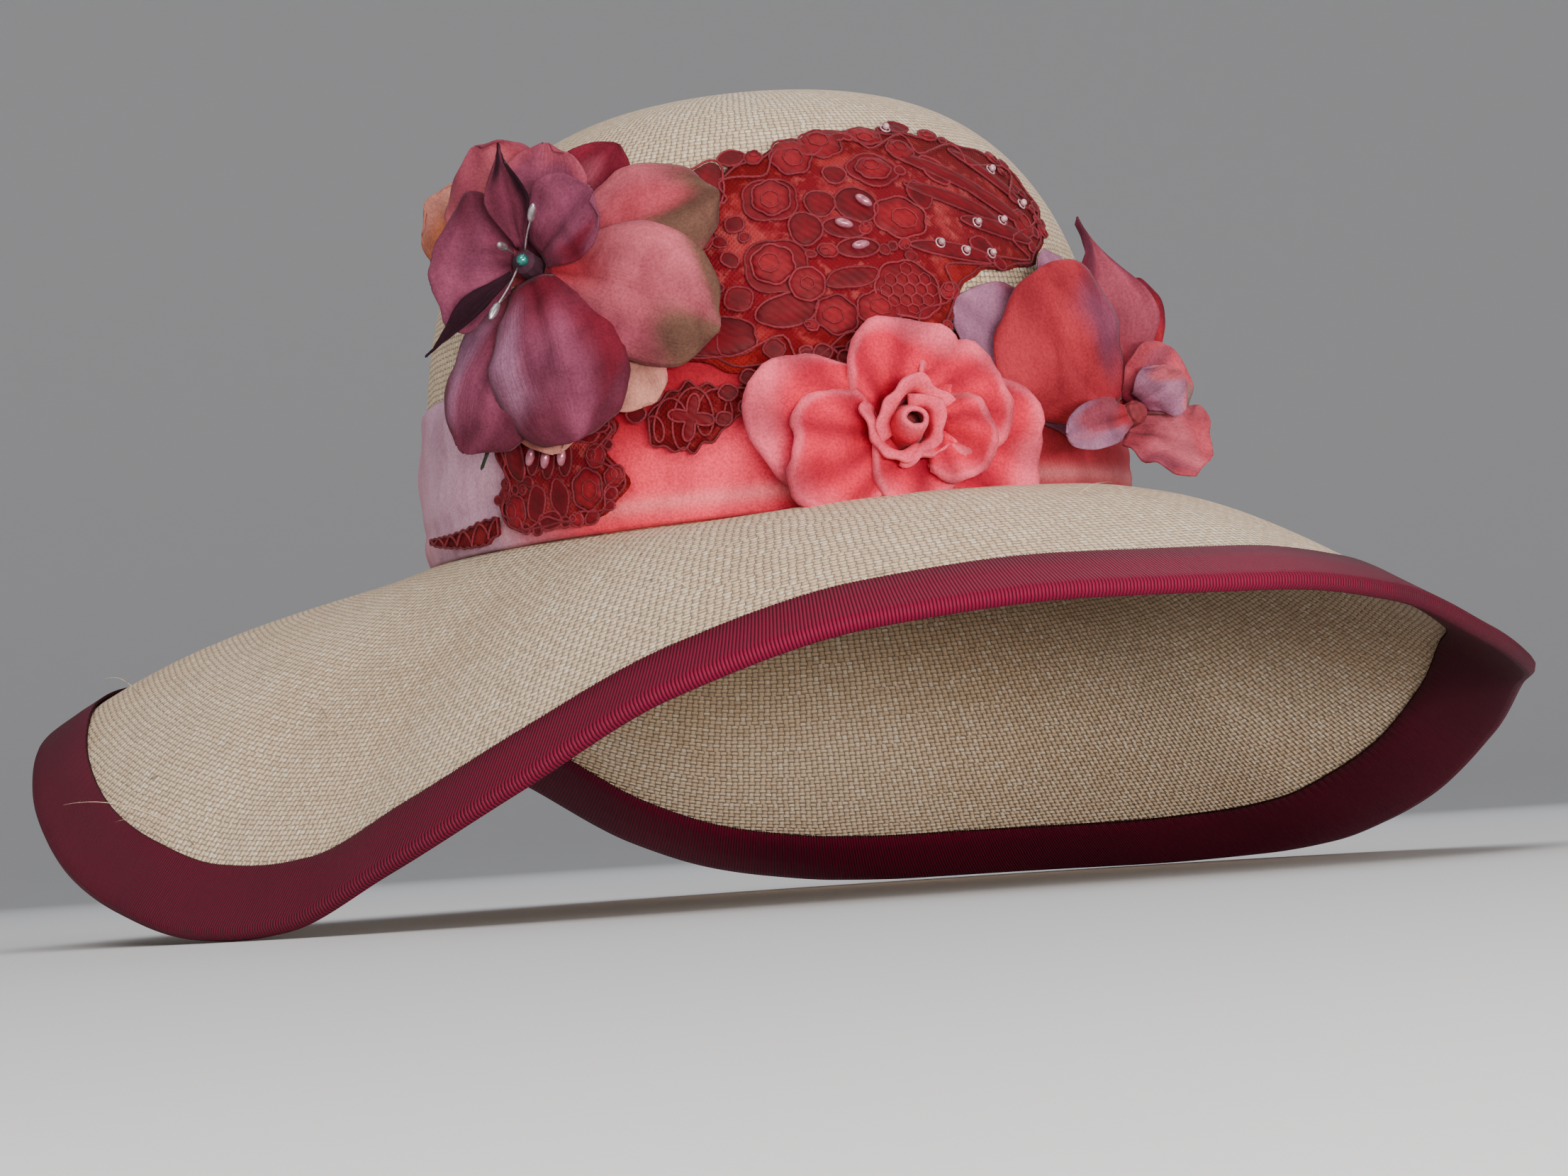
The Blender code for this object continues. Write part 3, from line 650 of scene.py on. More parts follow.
def velvet_finish(name, pile, sheen, tint, streak=0.35, pressed=0.0):
    """Cloth with a short pile: the piece's own colours, brushed patches and a soft sheen."""
    made = Finish(name, Roughness=0.85, Specular_IOR_Level=0.12, Sheen_Weight=sheen)
    made.shader.inputs["Sheen Roughness"].default_value = 0.3
    made.shader.inputs["Sheen Tint"].default_value = (*tint, 1.0)
    place = made.coordinates()
    brushed = made.noise(made.scaled(place, (1.0, 1.0, 0.55)), 95.0, 4.0, 0.6)
    nap = made.noise(place, 1500.0, 3.0, 0.75)
    color = made.tint()
    color = made.mix(made.ramp01(brushed, 0.42, 0.66) * streak, color, (0.50, 0.40, 0.44), "MULTIPLY")
    color = made.mix(made.ramp01(nap, 0.40, 0.70) * 0.5, color, (1.4, 1.32, 1.34), "MULTIPLY")
    color = made.mix(made.ramp01(nap, 0.55, 0.30) * 0.4, color, (0.6, 0.5, 0.54), "MULTIPLY")
    height = nap * 0.6 + brushed * 1.5
    if pressed:
        u, v = made.weave_place()
        lines = made.noise(made.joined(u * 1500.0, v * 60.0), 1.0, 2.0)
        color = made.mix(made.ramp01(lines, 0.35, 0.65) * pressed, color, (0.62, 0.50, 0.55), "MULTIPLY")
        height = height + lines * 1.2
    return made.done(color, made.bump(height, pile, 0.7))


def lace_ground_finish():
    """Dyed net: rose mottling under dark red, with a fine mesh of threads."""
    made = Finish("lace_net", Roughness=0.8, Specular_IOR_Level=0.1, Sheen_Weight=0.03)
    place = made.coordinates()
    u, v = made.weave_place()
    cloud = made.noise(place, 70.0, 4.0, 0.6)
    fine = made.noise(place, 380.0, 3.0, 0.6)
    color = made.mix(made.ramp01(cloud, 0.49, 0.63), (0.24, 0.005, 0.014), (0.45, 0.042, 0.048))
    color = made.mix(made.ramp01(fine, 0.50, 0.68) * 0.6, color, (0.54, 0.095, 0.090))
    color = made.mix(0.85, color, made.tint(), "MULTIPLY")
    threads = made.math("ABSOLUTE", made.math("SINE", (u + v) * 2600.0))
    cross = made.math("ABSOLUTE", made.math("SINE", (u - v) * 2600.0))
    knots = made.math("MINIMUM", threads, cross)
    color = made.mix(made.ramp01(knots, 0.0, 0.35) * 0.5, color, (0.30, 0.2, 0.2), "MULTIPLY")
    height = 1 - knots + fine * 0.4
    return made.done(color, made.bump(height, 0.00025, 0.8))


def satin_finish(name, scale=900.0):
    """Close stitching: the piece's own colours with fine thread lines."""
    made = Finish(name, Roughness=0.6, Specular_IOR_Level=0.2, Sheen_Weight=0.04)
    place = made.coordinates()
    x, _, z = made.parts(place)
    drift = made.noise(place, 90.0, 2.0) * 6.0
    threads = made.math("SINE", (x * 0.8 + z) * (scale * 6.3) + drift) * 0.5 + 0.5
    cloud = made.noise(place, 260.0, 3.0)
    color = made.mix(made.ramp01(cloud, 0.40, 0.7) * 0.5, made.tint(), (0.55, 0.45, 0.45), "MULTIPLY")
    color = made.mix(threads * 0.18, color, (0.5, 0.4, 0.4), "MULTIPLY")
    return made.done(color, made.bump(threads + cloud, 0.00012, 0.7))


def gloss_finish(name, color, roughness, metallic, coat):
    """Hard gloss with faint clouding, for beads, pearls and stamens."""
    made = Finish(name, Metallic=metallic, Coat_Weight=coat)
    cloud = made.noise(made.coordinates(), 700.0, 3.0)
    mixed = made.mix(made.ramp01(cloud, 0.35, 0.7), shaded(color, 0.62), color)
    return made.done(mixed, made.bump(cloud, 0.0001, 0.25), cloud * 0.18 + (roughness - 0.09))


# Petals


ROUND = "round"
POINTED = "pointed"

# Petals turned about their own length, in degrees, and bent sideways as a share of it
PETAL_TURNS = {
    "right_petal_coral": (-26, 0.15),
    "right_petal_tall": (-24, -0.05),
    "right_petal_lilac": (-10, 0.0),
    "right_petal_red": (-20, 0.0),
    "left_petal_low_left": (12, 0.04),
    "left_petal_upper_right": (-14, -0.04),
    "left_petal_right": (8, 0.05),
    "left_petal_lower": (0, 0.04),
}
HUES = {
    "pink": (0.42, 0.060, 0.085),
    "rose_pink": (0.46, 0.100, 0.130),
    "dusty": (0.29, 0.055, 0.085),
    "mauve": (0.205, 0.048, 0.090),
    "plum": (0.118, 0.022, 0.042),
    "black": (0.022, 0.005, 0.011),
    "wine": (0.150, 0.010, 0.024),
    "red": (0.34, 0.016, 0.028),
    "coral": (0.37, 0.028, 0.042),
    "peach": (0.52, 0.22, 0.17),
    "orange": (0.54, 0.17, 0.085),
    "olive": (0.135, 0.066, 0.046),
    "green": (0.030, 0.048, 0.026),
    "lilac": (0.31, 0.135, 0.215),
    "grey": (0.19, 0.14, 0.125),
}

LEFT_PETALS = (
    # name, right, up, out, width, belly, cup, seat, outline, ruffle, curl, fold, slot,
    # hues: heart, body, tip, right-hand edge, left-hand edge as seen along the petal from its base
    ("left_leaf_low", -0.37, -1.17, -0.05, 0.26, 0.02, 0.2, -0.17, POINTED, 0.04, 0.1, 0,
     "leaf_green", "green olive green green green"),
    ("left_petal_peach", -0.80, 0.56, -0.06, 0.60, 0.04, 0.1, -0.17, ROUND, 0.09, 0.2, 0,
     "petal_peach", "pink orange peach pink orange"),
    ("left_petal_far_right", 1.09, 0.25, -0.06, 0.50, 0.04, 0.1, -0.17, ROUND, 0.07, 0.2, 0,
     "petal_pink", "wine wine rose_pink dusty rose_pink"),
    ("left_petal_low_peach", 0.12, -1.12, -0.04, 0.66, 0.05, 0.1, -0.11, ROUND, 0.08, 0.2, 0,
     "petal_peach", "dusty peach peach rose_pink peach"),
    ("left_petal_top_left", -0.47, 0.82, 0.02, 0.68, 0.05, 0.1, -0.11, ROUND, 0.12, 0.3, 0.2,
     "petal_pink", "pink rose_pink dusty pink rose_pink"),
    ("left_petal_top_right", 0.48, 0.77, -0.02, 0.50, 0.04, 0.1, -0.11, ROUND, 0.08, 0.2, 0,
     "petal_mauve", "mauve dusty wine mauve wine"),
    ("left_petal_low_right", 0.78, -0.88, 0.03, 0.56, 0.04, 0.1, -0.04, ROUND, 0.08, 0.2, 0,
     "petal_peach", "dusty peach peach peach rose_pink"),
    ("left_petal_top", 0.06, 0.76, 0.10, 0.58, 0.04, 0.1, -0.04, ROUND, 0.08, 0.2, 0,
     "petal_mauve", "plum mauve dusty plum mauve"),
    # the lilac on this petal's right-hand edge is a painted highlight
    ("left_petal_low_left", -0.41, -1.09, 0.12, 0.72, 0.10, -0.25, 0.02, ROUND, 0.07, 0.3, 0.2,
     "petal_plum", "pink mauve plum lilac plum"),
    ("left_petal_upper_right", 1.13, 0.38, 0.04, 0.72, 0.07, 0.1, 0.02, ROUND, 0.06, 0.35, -0.75,
     "petal_pink", "mauve pink olive dusty rose_pink"),
    ("left_petal_right", 1.21, -0.50, 0.16, 0.80, 0.09, -0.15, 0.09, ROUND, 0.06, 0.35, 0.25,
     "petal_olive", "coral rose_pink olive dusty rose_pink"),
    ("left_petal_left", -0.58, 0.03, 0.28, 0.88, 0.08, 0.1, 0.14, ROUND, 0.05, 0.25, -0.35,
     "petal_plum", "plum mauve mauve plum mauve"),
    # the lilac on this petal's right-hand edge is a painted highlight
    ("left_petal_lower", 0.34, -1.12, 0.24, 0.84, 0.13, -0.25, 0.15, ROUND, 0.05, 0.45, 0.25,
     "petal_plum", "wine mauve plum lilac wine"),
    ("left_petal_small", 0.50, 0.34, 0.34, 0.56, 0.06, 0.2, 0.14, ROUND, 0.06, 0.2, 0,
     "petal_mauve", "plum mauve mauve wine mauve"),
    ("left_leaf_up", -0.09, 0.69, 0.40, 0.27, 0.05, 0.45, 0.20, POINTED, 0.03, 0.1, 0,
     "leaf_dark", "plum plum black black plum"),
    ("left_leaf_down", -0.53, -0.57, 0.36, 0.16, 0.05, 0.3, 0.21, POINTED, 0.03, 0.1, 0,
     "leaf_dark", "black black black black black"),
)
RIGHT_PETALS = (
    # the same columns
    ("right_petal_lilac", -0.92, 0.71, -0.03, 0.62, 0.05, 0.1, -0.11, ROUND, 0.08, 0.25, 0.2,
     "petal_mauve", "mauve lilac lilac mauve lilac"),
    ("right_petal_red", 0.64, 0.87, 0.04, 0.40, 0.06, 0.1, -0.10, ROUND, 0.08, 0.2, 0,
     "petal_red", "wine wine wine red wine"),
    ("right_petal_far", -0.14, 1.01, 0.03, 0.36, 0.03, 0.1, -0.04, ROUND, 0.07, 0.2, 0,
     "petal_mauve", "mauve lilac lilac mauve plum"),
    ("right_petal_tall", 0.02, 1.15, 0.20, 0.52, 0.06, 0.35, 0.03, POINTED, 0.05, 0.2, 0.1,
     "petal_plum", "coral dusty plum dusty wine"),
    ("right_petal_coral", -0.62, 0.76, 0.30, 0.84, 0.10, -0.16, 0.10, ROUND, 0.04, 0.3, 0.1,
     "petal_coral", "coral coral coral mauve coral"),
    ("right_petal_edge", -0.76, -0.18, 0.30, 0.26, 0.05, 0.1, 0.20, ROUND, 0.06, 0.2, 0,
     "petal_mauve", "red dusty lilac dusty lilac"),
    ("right_petal_low", 0.34, -0.31, 0.36, 0.54, 0.08, 0.2, 0.05, ROUND, 0.08, 0.3, 0,
     "petal_pink", "pink rose_pink pink dusty rose_pink"),
    ("right_petal_mid", 0.24, 0.29, 0.38, 0.44, 0.10, 0.35, 0.13, ROUND, 0.08, 0.5, 0.3,
     "petal_pink", "wine dusty pink grey pink"),
    ("right_petal_front", 0.10, 0.12, 0.46, 0.34, 0.08, 0.2, 0.20, ROUND, 0.08, 0.3, 0,
     "petal_mauve", "mauve lilac rose_pink lilac lilac"),
)
CALYX_COLORS = {
    "left_flower_calyx": (0.06, 0.012, 0.03),
    "rose_calyx": (0.35, 0.03, 0.04),
    "right_flower_calyx": (0.22, 0.02, 0.03),
}


def outline_width(outline, share):
    """Half width of a petal or leaf along it, as a share of its widest half."""
    if outline == ROUND:
        if share < 0.58:
            return blend(0.40, 1.0, math.sin(math.pi / 2 * share / 0.58) ** 1.3)
        return max(1 - ((share - 0.58) / 0.424) ** 2.7, 0.0) ** (1 / 2.3)
    rise = blend(0.25, 1.0, smooth(share / 0.5) ** 0.8)
    fall = 1 - smooth((share - 0.42) / 0.58) ** 1.15
    return max(min(rise, fall), 0.03)


def flower_basis(angle, share, stand, facing, pitch):
    """The flower's own frame: X to its right, Y up and Z out of its face."""
    height = share * CROWN_HEIGHT
    turn = math.radians(facing)
    tilt = math.radians(pitch)
    out = Vector((math.cos(tilt) * math.cos(turn), math.cos(tilt) * math.sin(turn), math.sin(tilt)))
    right = Vector((-math.sin(turn), math.cos(turn), 0))
    basis = Matrix((right, out.cross(right), out)).transposed().to_4x4()
    basis.translation = trim_point(angle, height, 0) + crown_normal(angle, height) * stand
    return basis


LEFT_REACH = 0.040
ROSE_REACH = 0.032
RIGHT_REACH = 0.045
LEFT_FRAME = flower_basis(240.2, 0.545, 0.010, 248, 12)
ROSE_FRAME = flower_basis(285.5, 0.14, 0.007, 282, 5)
RIGHT_FRAME = flower_basis(322, 0.14, 0.008, 318, 15)


def petal_points(reach, row, rows=30, columns=25):
    """Grid of a petal in its flower's frame, with its place in the petal for each point."""
    _, right, up, out, width, belly, cup, seat, outline, ruffle, curl, fold = row[:12]
    root = Vector((0, 0, seat * reach))
    tip = Vector((right, up, out)) * reach
    aside = Vector((right, up, 0)).normalized()
    base = root + aside * (CALYX_RADIUS + CALYX_CLEARANCE)
    axis = (tip - base).normalized()
    face = (Vector((0, 0, 1)) - axis * axis.z).normalized()
    turn, bend = PETAL_TURNS.get(row[0], (0, 0))
    face = Matrix.Rotation(math.radians(turn), 3, axis) @ face
    across = face.cross(axis)
    length = (tip - base).length
    half = width * reach / 2
    seed = seed_of(row[0])
    phase = seed * 0.7
    grid = []
    places = []
    for i in range(rows):
        share = math.sin(math.pi / 2 * i / (rows - 1))
        wide = outline_width(outline, share)
        middle = base + axis * length * share
        middle += face * (belly * length * 4 * share * (1 - share))
        middle -= face * (curl * 0.16 * length * smooth((share - 0.55) / 0.45))
        middle += across * (bend * length * 4 * share * (1 - share))
        line = []
        for j in range(columns):
            side = 2 * j / (columns - 1) - 1
            point = middle + across * (half * wide * side)
            lift = cup * half * wide * side * side
            wave = math.sin(phase + 9.0 * share + 1.8 * side) + 0.6 * math.sin(2.3 * phase + 17 * share)
            lift += ruffle * half * wave * (abs(side) ** 2.5) * smooth(share / 0.3)
            lift -= curl * 0.10 * half * abs(side) ** 5
            lift -= 0.10 * half * math.exp(-((side / 0.13) ** 2)) * (1 - share) * smooth(share / 0.2)
            if fold * side > 0:
                lift -= abs(fold) * half * 0.75 * max(abs(side) - 0.35, 0.0) ** 1.6
            point += face * lift
            point += face * (rumple(point, 0.010, 0.0016, seed % 9) * smooth(share / 0.3))
            point += face * rumple(point, 0.0035, 0.0004, seed % 7)
            point += axis * rumple(point, 0.006, 0.0012 * share, seed % 5)
            point -= axis * (half * 0.16 * share * side * side)
            line.append(point)
            places.append((share, side))
        grid.append(line)
    return grid, places


def petal_color(hues, share, side, seed):
    heart, body, tip, right, left = (Vector(HUES[name]) for name in hues.split())
    drift = 0.12 * math.sin(3.1 * side + seed) + 0.09 * math.sin(8 * share + 5 * side - seed)
    color = blend(heart, body, smooth((share - 0.03 + 0.5 * drift) / 0.42))
    along_edge = smooth(share / 0.45)
    color = blend(color, right, smooth((-side - 0.22 + drift) / 0.5) * along_edge)
    color = blend(color, left, smooth((side - 0.22 + drift) / 0.5) * along_edge)
    color = blend(color, tip, smooth((share - 0.66 + drift) / 0.26))
    # darker along the middle line toward the base, where the petal has its groove
    middle_darkening = math.exp(-((side / 0.08) ** 2)) * (1 - share)
    color = color * (1 - 0.30 * middle_darkening)
    blotch = math.sin(seed + 7.1 * share + 3.3 * side) * math.sin(1.7 * seed + 5.3 * share - 4.1 * side)
    return color * (0.95 + 0.20 * blotch)


def build_petals(basis, reach, rows, surface, wall):
    for row in rows:
        grid, places = petal_points(reach, row)
        seed = seed_of(row[0]) % 17
        slot, hues = row[12:]
        colors = [petal_color(hues, share, side, seed) for share, side in places]
        half = row[4] * reach / 2
        length = Vector(row[1:4]).length * reach
        cuts = [(side * half, share * length) for share, side in places]
        build_cut(row[0] + "_cloth", row[0], basis, grid, surface, colors, wall, cuts)


# Rose lobes: shells that swell from the heart and roll back at the rim
ROSE_LOBES = (
    # node, right, up, out, direction, radius, swell, open, pale (how much painted sheen the lip gets)
    ("rose_petal_left_back", -0.16, 0.03, 0.00, 172, 0.44, 0.10, 70, 0.85),
    ("rose_petal_top", -0.05, 0.04, 0.06, 84, 0.37, 0.16, 72, 0.95),
    ("rose_petal_far_right", 0.10, -0.04, 0.00, -5, 0.46, 0.08, 62, 0.80),
    ("rose_petal_upper_right", 0.08, 0.06, 0.12, 15, 0.37, 0.14, 66, 0.75),
    ("rose_petal_left", -0.12, -0.04, 0.12, 193, 0.40, 0.16, 66, 0.35),
    ("rose_petal_low", 0.02, 0.02, 0.08, -88, 0.28, 0.22, 72, 0.30),
    ("rose_petal_right", 0.10, -0.02, 0.22, -20, 0.27, 0.16, 66, 0.30),
)
# Share of a lobe's rows that lie inside its rim; the rest roll back
ROSE_RIM = 0.72
# The middle red is the velvet's colour; the darker red is painted shade toward the heart, the pale pink
# painted sheen on the lips
ROSE_DEEP_SHADE = Vector((0.37, 0.006, 0.020))
ROSE_MID = Vector((0.66, 0.017, 0.054))
ROSE_PAINTED_SHEEN = Vector((0.86, 0.155, 0.225))


def rose_lobe(row, reach, rows=26, columns=33):
    """Grid of a shell: a round lobe that domes up and rolls back under its own rim."""
    _, right, up, out, direction, radius, swell, spread, _ = row
    center = Vector((right, up, out)) * reach
    size = radius * reach
    grid = []
    places = []
    seed = seed_of(row[0]) % 13
    for i in range(rows):
        share = i / (rows - 1)
        line = []
        for j in range(columns):
            side = 2 * j / (columns - 1) - 1
            turn = math.radians(spread * side)
            reach_here = 2 * size * math.cos(turn * 0.93)
            reach_here *= 1 + 0.09 * math.sin(2.6 * side + seed) + 0.05 * math.sin(7 * side + 2 * seed)
            aim = math.radians(direction) + turn
            ray = Vector((math.cos(aim), math.sin(aim), 0))
            inner = min(share / ROSE_RIM, 1.0)
            rise = swell * reach * math.sin(min(inner * 1.9, math.pi / 2 + 0.35))
            rise *= 0.75 + 0.25 * math.cos(turn)
            crease = 0.062 * reach * math.sin(5.4 * side + 1.3 * seed) * smooth(inner)
            crease += 0.034 * reach * math.sin(12 * side + seed + 3 * inner) * smooth((inner - 0.3) / 0.7)
            point = ray * (reach_here * inner) + Vector((0, 0, rise + crease))
            roll = max(share - ROSE_RIM, 0) / (1 - ROSE_RIM)
            if roll > 0:
                swing = roll * math.radians(235)
                point += ray * (ROSE_LIP * math.sin(swing)) - Vector((0, 0, ROSE_LIP * (1 - math.cos(swing))))
            spot = center + point
            spot += Vector((0, 0, 1)) * (rumple(spot, 0.009, 0.0026, seed) * smooth(inner / 0.5))
            spot += ray * (rumple(spot, 0.004, 0.0009, seed) * smooth(inner / 0.6))
            line.append(spot)
            places.append((inner, roll, side))
        grid.append(line)
    return grid, places


def rose_color(inner, roll, side, pale, seed):
    # painted shade: darker toward the heart of each lobe
    color = blend(ROSE_DEEP_SHADE, ROSE_MID, smooth((inner + 0.15 * math.sin(4 * side + seed)) / 0.7))
    # painted sheen: paler on the lip, on the rolled-back rows and at the outer edge
    rim = smooth((inner - 0.80 + 0.12 * math.sin(4 * side + seed)) / 0.26) * pale
    rim = max(rim * 0.85, smooth(roll * 2) * 0.75, smooth((inner - 0.93) / 0.07) * 0.6)
    color = blend(color, ROSE_PAINTED_SHEEN, rim)
    return color * (0.84 + 0.22 * math.sin(seed + 12 * side + 3 * inner))


def build_rose_cut(name, grid, surface, colors, wall):
    build_cut(
        name + "_velvet", name, ROSE_FRAME, grid, surface, colors, wall
    )


def build_rose_lobes(surface, wall):
    for row in ROSE_LOBES:
        name = row[0]
        grid, places = rose_lobe(row, ROSE_REACH)
        seed = seed_of(name) % 13
        colors = [rose_color(inner, roll, side, row[8], seed) for inner, roll, side in places]
        build_rose_cut(name, grid, surface, colors, wall)


WHORLS = (
    # node or bud, start and span in degrees, then shares of the rose's reach:
    # foot radius, top radius, low, high, curl
    ("rose_whorl_1", 20, 190, 0.20, 0.26, 0.16, 0.52, 0.045),
    ("rose_whorl_2", 250, 200, 0.17, 0.23, 0.18, 0.50, 0.045),
    ("rose_whorl_3", 150, 190, 0.22, 0.29, 0.12, 0.46, 0.045),
    ("rose_bud", 70, 560, 0.155, 0.075, 0.20, 0.53, 0.010),
)


def build_whorls(surface, wall):
    """The furled heart: walls that wrap round each other and a bud, and curl out at the top."""
    for index, (name, start, span, foot, top, low, high, lip) in enumerate(WHORLS):
        grid = []
        colors = []
        for i in range(14):
            share = i / 13
            line = []
            for j in range(41):
                side = j / 40
                turn = math.radians(start + span * side)
                inward = (1 - 0.28 * smooth(side)) * (1 + 0.13 * math.sin(3.3 * side * (index + 2) + index))
                radius = blend(foot, top, share**2) * inward
                curl = lip * smooth((share - 0.7) / 0.3)
                height = blend(low, high, share) - 0.12 * (2 * side - 1) ** 2 * share - curl * share
                height += 0.03 * math.sin(7 * side + 2 * index) * share
                radius += curl * 1.2
                spot = Vector((radius * math.cos(turn), radius * math.sin(turn), height)) * ROSE_REACH
                spot += Vector((spot.x, spot.y, 0)).normalized() * rumple(spot, 0.005, 0.0022 * share, index)
                spot.z += rumple(spot, 0.006, 0.0030 * share, index + 4)
                line.append(spot)
                # painted shade at the foot of each whorl, painted sheen toward its top
                pale = smooth((share - 0.55) / 0.4)
                colors.append(blend(blend(ROSE_DEEP_SHADE, ROSE_MID, share), ROSE_PAINTED_SHEEN, 0.6 * pale))
            grid.append(line)
        build_rose_cut(name, grid, surface, colors, wall)


# Straw


def build_crown(options):
    around = 240
    rows = 64
    turns = [math.pi / 2 * i / rows for i in range(rows)]
    turns += [math.pi / 2 * (1 - rest) for rest in (0.012, 0.0075, 0.0042, 0.0020, 0.0008)]
    heights = [CROWN_HEIGHT * math.sin(t) ** (2 / CROWN_ROUNDNESS) for t in turns]
    rings = [[crown_point(360 * i / around, h) for i in range(around)] for h in heights]
    lengths = [0.0]
    for lower, upper in zip(rings, rings[1:]):
        step = sum((b - a).length for a, b in zip(lower[::12], upper[::12])) / len(lower[::12])
        lengths.append(lengths[-1] + step)
    points, faces, places = net(list(reversed(rings)), loop_columns=True)
    lengths.reverse()
    uvs = [(j / around, lengths[i]) for i, j in places]
    faces.append(tuple(range(around)))
    uvs += [(j / around, lengths[0]) for j in range(around)]
    surface = straw_finish(
        "straw_crown", options, start_radius=0.094, end_radius=0.004, length=0.163, bend=3.2
    )
    crown = build_piece("crown_straw", points, faces, surface, ("crown",), uvs)
    thicken(crown, STRAW, -1)


def brim_net(around, rows, reaches):
    """Rings of the brim's middle surface: evenly spaced rows, then given distances from the rim."""
    rings = [[] for _ in range(rows + len(reaches))]
    for i in range(around):
        angle = 360 * i / around
        profile = brim_profile(angle)
        length = sum(math.dist(a, b) for a, b in zip(profile, profile[1:]))
        for row in range(rows):
            reach = reaches[0] + (length - reaches[0]) * (1 - row / rows)
            rings[row].append(polar(angle, *along(profile, reach)))
        for row, distance in enumerate(reaches):
            rings[rows + row].append(polar(angle, *along(profile, distance)))
    return rings


def build_brim(options):
    around = 360
    rings = brim_net(around, 26, (BINDING_UNDER_WIDTH, BINDING_TOP_WIDTH, BINDING_TOP_WIDTH / 2, 0.0))
    collar = []
    for height in (COLLAR_HEIGHT, 0.0):
        ring = []
        for i in range(around):
            angle = 360 * i / around
            ring.append(leaned(polar(angle, oval_radius(angle, STRAW / 2), CROWN_BASE_HEIGHT + height)))
        collar.append(ring)
    rings = collar + rings
    lengths = [[0.0] * around]
    for inner, outer in zip(rings, rings[1:]):
        lengths.append([before + (b - a).length for before, a, b in zip(lengths[-1], inner, outer)])
    points, faces, places = net(rings, loop_columns=True)
    uvs = [(j / around, lengths[i][j % around]) for i, j in places]
    length = sum(lengths[-1]) / around
    surface = straw_finish(
        "straw_brim", options, start_radius=0.080, end_radius=0.192, length=length, bend=1.0
    )
    brim = build_piece("brim_straw", points, faces, surface, ("brim",), uvs)
    thicken(brim, STRAW)
    return surface


FIBRES = (
    # angle, share of the way out, length, heading, lift
    (212, 0.82, 0.024, 200, 0.5),
    (214, 0.86, 0.015, 150, 0.9),
    (217, 0.84, 0.012, 230, 1.0),
    (222, 0.50, 0.016, 120, 0.9),
    (226, 0.55, 0.012, 160, 0.9),
    (238, 0.22, 0.010, 190, 0.7),
    (300, 0.40, 0.009, 20, 0.6),
    (262, 0.55, 0.009, 170, 0.7),
    (25, 0.60, 0.012, 60, 0.8),
    (70, 0.40, 0.010, 110, 0.7),
    (120, 0.60, 0.013, 40, 0.8),
    (160, 0.50, 0.010, 200, 0.7),
    (190, 0.70, 0.014, 240, 0.8),
)


def build_fibres(options, surface):
    """Loose straw fibres that stand up from the brim."""
    heap = Heap()
    for angle, share, length, heading, lift in FIBRES:
        profile = brim_profile(angle)
        total = sum(math.dist(a, b) for a, b in zip(profile, profile[1:]))
        start = polar(angle, *along(profile, total * (1 - share))) + Vector((0, 0, STRAW / 2))
        turn = math.radians(heading)
        flat = Vector((math.cos(turn), math.sin(turn), 0))
        path = []
        for i in range(13):
            t = i / 12
            rise = lift * (t * 1.2 - 0.75 * t * t)
            path.append(start + flat * (length * t) + Vector((0, 0, length * rise + 0.0001)))
        heap.tube(path, FIBRE_RADIUS, tuple(options.straw_color), sides=5, taper=True)
    heap.piece("straw_fibres", surface)


# Ribbon and velvet


def build_binding(options):
    around = 2 * options.rib_count
    reaches = (BINDING_UNDER_WIDTH, BINDING_TOP_WIDTH, BINDING_TOP_WIDTH * 0.55, 0.002, 0.0)
    rings = brim_net(around // 8, 1, reaches)
    normals = [ring_normals(rings, row) for row in range(len(rings))]
    coarse = len(rings[0])

    def leg(row, side):
        return [p + n * (BRIM_SKIN * side) for p, n in zip(rings[row], normals[row])]

    outs = [(p - q).normalized() for p, q in zip(rings[-1], rings[-2])]
    last = len(rings) - 1
    section = [leg(2, 1), leg(3, 1), leg(4, 1)]
    for turn in (80, 45, 0, -45, -80):
        swing = math.radians(turn)
        ring = []
        for p, n, o in zip(rings[last], normals[last], outs):
            ring.append(p + n * (BRIM_SKIN * math.sin(swing)) + o * (BRIM_SKIN * math.cos(swing)))
        section.append(ring)
    section += [leg(4, -1), leg(3, -1), leg(2, -1), leg(1, -1)]
    fine = []
    for index, ring in enumerate(section):
        ends = index in (0, len(section) - 1)
        inner = section[1] if index == 0 else section[-2]
        line = []
        for i in range(around):
            place = i / 8
            j = int(place) % coarse
            share = place - int(place)
            point = through(*(ring[(j + k) % coarse] for k in (-1, 0, 1, 2)), share)
            if ends and i % 2:
                point += (inner[j] - point).normalized() * TOOTH
            line.append(point)
        fine.append(line)
    lengths = [0.0]
    for lower, upper in zip(fine, fine[1:]):
        lengths.append(lengths[-1] + (upper[0] - lower[0]).length)
    points, faces, places = net(fine, loop_columns=True)
    uvs = [(j / around, lengths[i]) for i, j in places]
    surface = ribbon_finish(options)
    binding = build_piece("binding_ribbon", points, faces, surface, ("brim_binding",), uvs)
    thicken(binding, RIBBON_WALL, even=False)
    area = sum(
        (fine[i + 1][j] - fine[i][j]).length * (fine[i][(j + 1) % around] - fine[i][j]).length
        for i in range(len(fine) - 1)
        for j in range(0, around, 4)
    ) * 4


